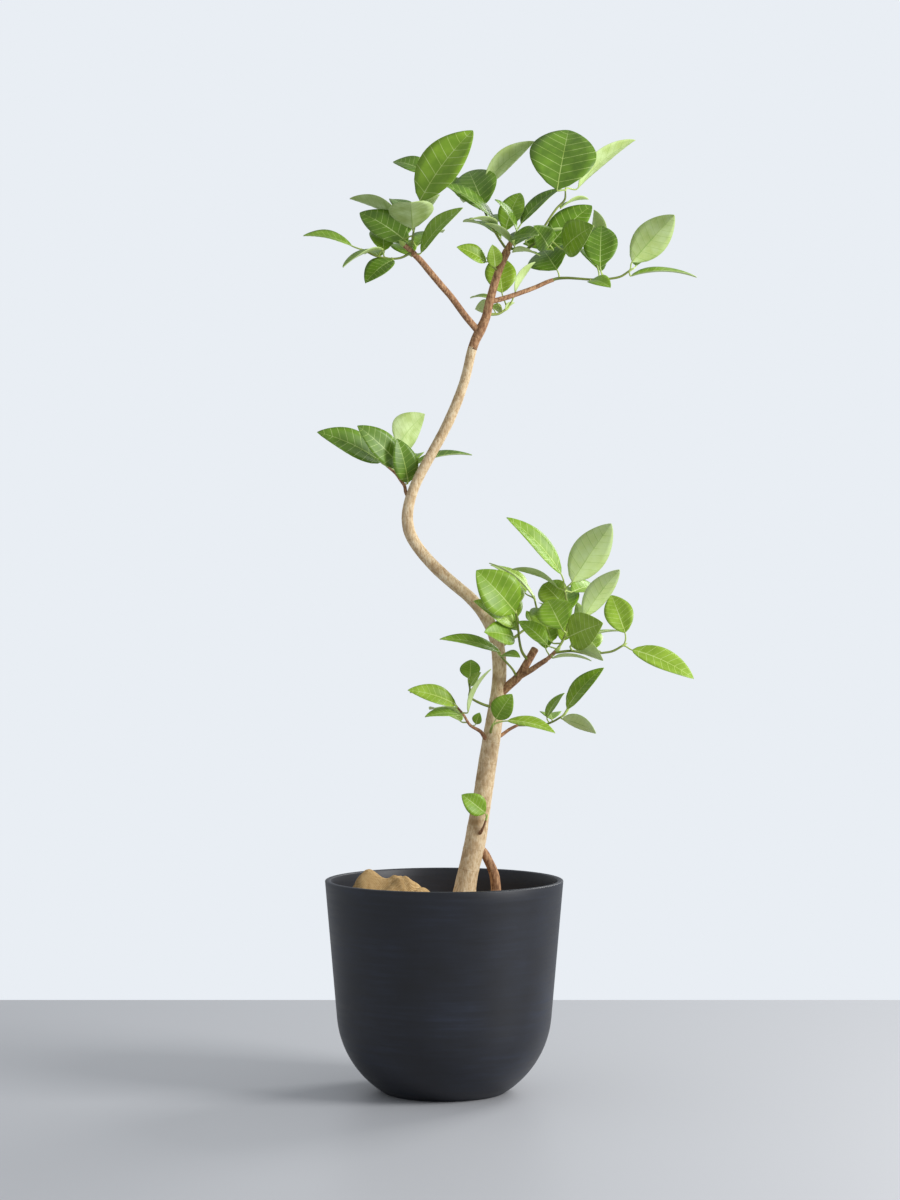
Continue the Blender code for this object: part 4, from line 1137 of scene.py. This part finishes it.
class POTTED_OT_cloth(bpy.types.Operator):
    """Lay the bunched jute cloth on the soil"""
    bl_idname = "potted.cloth"
    bl_label = "Jute cloth"

    def execute(self, context):
        around, rings = CLOTH_GRID
        out, turn = np.meshgrid(np.linspace(0, 1, rings),
                                np.linspace(0, 2 * math.pi, around, endpoint=False), indexing="ij")
        x = (1 - out) * (CLOTH_HOLE_X + CLOTH_HOLE[0] * np.cos(turn)) + out * CLOTH_RADIUS * np.cos(turn)
        y = (1 - out) * CLOTH_HOLE[1] * np.sin(turn) + out * CLOTH_RADIUS * np.sin(turn)
        z = SOIL_TOP + CLOTH_REST + np.maximum(cloth_height(x, y), CLOTH_SAG)
        verts = np.stack((x, y, z), axis=-1).reshape(-1, 3)
        uv = np.stack((x, y), axis=-1).reshape(-1, 2) * MM
        uv[:, 1] += (z.reshape(-1) - SOIL_TOP) * MM * 0.7
        cloth = mesh_object("jute_cover", verts, grid_faces(rings, around, True)[:, ::-1],
                            [jute_weave()], uv=uv)
        thick = cloth.modifiers.new("thickness", "SOLIDIFY")
        thick.thickness = context.scene.potted_sizes.cloth_thickness
        thick.offset = -1.0
        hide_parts("cover_cloth")
        return {"FINISHED"}


class POTTED_OT_wood(bpy.types.Operator):
    """Grow the stem and boughs with their bark"""
    bl_idname = "potted.wood"
    bl_label = "Stem and boughs"

    def execute(self, context):
        step = context.scene.potted_sizes.bark_step / MM
        trunk, at = fine_route(route_through(TRUNK), step)
        fork = int(np.argmax(trunk[:, 2] > FORK_HEIGHT))
        pale = fig_bark("pale_fig_bark", "#e3cfad", "#d0b58d", "#a58560", "#a3825a")
        tube_piece("stem_bark", [tube_surface(trunk[:fork + 2], at[:fork + 2], STEM_SIDES, bark_relief)],
                   pale, "bark", "trunk_lower", "trunk_middle", "trunk_upper")
        tube_piece("leader_bark", [tube_surface(trunk[fork:], at[fork:], STEM_SIDES, bark_relief)],
                   young_bark(), "bark", "leader")
        groups = (("upper_boughs_bark", (BOUGH_LEFT, BOUGH_RIGHT), ("bough_left", "bough_right")),
                  ("lower_boughs_bark", (AERIAL_ROOT, BOUGH_LOWER, BOUGH_LOWER_RIGHT),
                   ("aerial_root", "bough_lower", "bough_lower_right")))
        for name, limbs, nodes in groups:
            tubes = [bark_tube(route_through(stations), step, BOUGH_SIDES) for stations in limbs]
            tube_piece(name, tubes, young_bark(), "bark", *nodes)
        return {"FINISHED"}


class POTTED_OT_foliage(bpy.types.Operator):
    """Grow the twigs, leaf stalks and leaves"""
    bl_idname = "potted.foliage"
    bl_label = "Twigs and leaves"

    def execute(self, context):
        thickness = context.scene.potted_sizes.leaf_thickness / MM
        plans = grow_plant()
        routes = [route for _, of_mass, _ in plans for route in of_mass]
        woody = [bark_tube(route, TWIG_STEP, TWIG_SIDES) for route in routes if route[0, 3] >= WOODY_RADIUS]
        green = [bark_tube(route, SHOOT_STEP, TWIG_SIDES) for route in routes if route[0, 3] < WOODY_RADIUS]
        shoot = living_skin("green_shoot_skin", "#66732f", "#8d9b48", 0.6, scale=40.0, gloss=0.4)
        tube_piece("woody_twigs", woody, young_bark(), "bark")
        tube_piece("green_twigs", green, shoot, "foliage")
        stalks = [petiole_route(blade, of_mass) for _, of_mass, blades in plans for blade in blades]
        tubes = [tube_surface(stalk, np.arange(len(stalk)) * PETIOLE_STEP, PETIOLE_SIDES)
                 for stalk in stalks]
        tubes += [tube_surface(bud_route(route), np.arange(BUD_POINTS), PETIOLE_SIDES) for route in routes]
        tube_piece("leaf_stalks", tubes,
                   living_skin("leaf_stalk_skin", "#9fb556", "#b9c973", 0.5, scale=50.0), "foliage")
        # Each leaf is dealt a tint: the deep greens are partly painted shade, the bright greens partly
        # painted light
        rng = random.Random("tints")
        tints = {name: [] for name in GREENS}
        for mass, _, blades in plans:
            for blade in blades:
                tints[rng.choice(TINTS_OF.get(mass.name, USUAL_TINTS))].append(blade)
        for name, blades in tints.items():
            deep, light, under, vein = GREENS[name]
            skins = [living_skin("leaf_upper_" + name, deep, light, 0.42, gloss=0.4),
                     living_skin("leaf_under_" + name, under, "#c3d795", 0.6, gloss=0.35),
                     living_skin("leaf_vein_above_" + name, vein, "#c2d68a", 0.45),
                     # Underside veins: darker green, painted shade along the proud midrib and veins
                     living_skin("leaf_vein_under_" + name, "#8caf55", under, 0.6)]
            verts, faces, slots = joined([blade_surface(blade, rng.uniform(0, 6), thickness)
                                          for blade in blades])
            leaves = mesh_object("leaves_" + name, verts, faces, skins, face_slots=slots)
            if name == "middle":
                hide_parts(*[mass.name for mass, _, _ in plans])
        return {"FINISHED"}


class POTTED_PT_panel(bpy.types.Panel):
    """Buttons that build each piece"""
    bl_idname = "POTTED_PT_panel"
    bl_label = "Potted council tree"
    bl_space_type = "VIEW_3D"
    bl_region_type = "UI"
    bl_category = "Potted tree"

    def draw(self, context):
        for operator in OPERATORS:
            self.layout.operator(operator.bl_idname)


OPERATORS = (POTTED_OT_stage, POTTED_OT_planter, POTTED_OT_soil, POTTED_OT_cloth, POTTED_OT_wood,
             POTTED_OT_foliage)
CLASSES = (PottedTreeSizes, PottedTreeColours, *OPERATORS, POTTED_PT_panel)


def register():
    for cls in CLASSES:
        bpy.utils.register_class(cls)
    bpy.types.Scene.potted_sizes = bpy.props.PointerProperty(type=PottedTreeSizes)
    bpy.types.Scene.potted_colours = bpy.props.PointerProperty(type=PottedTreeColours)


def unregister():
    del bpy.types.Scene.potted_colours
    del bpy.types.Scene.potted_sizes
    for cls in reversed(CLASSES):
        bpy.utils.unregister_class(cls)


def main():
    register()
    bpy.ops.potted.stage()
    bpy.ops.potted.planter()
    bpy.ops.potted.soil()
    bpy.ops.potted.cloth()
    bpy.ops.potted.wood()
    bpy.ops.potted.foliage()


if __name__ == "__main__":
    main()
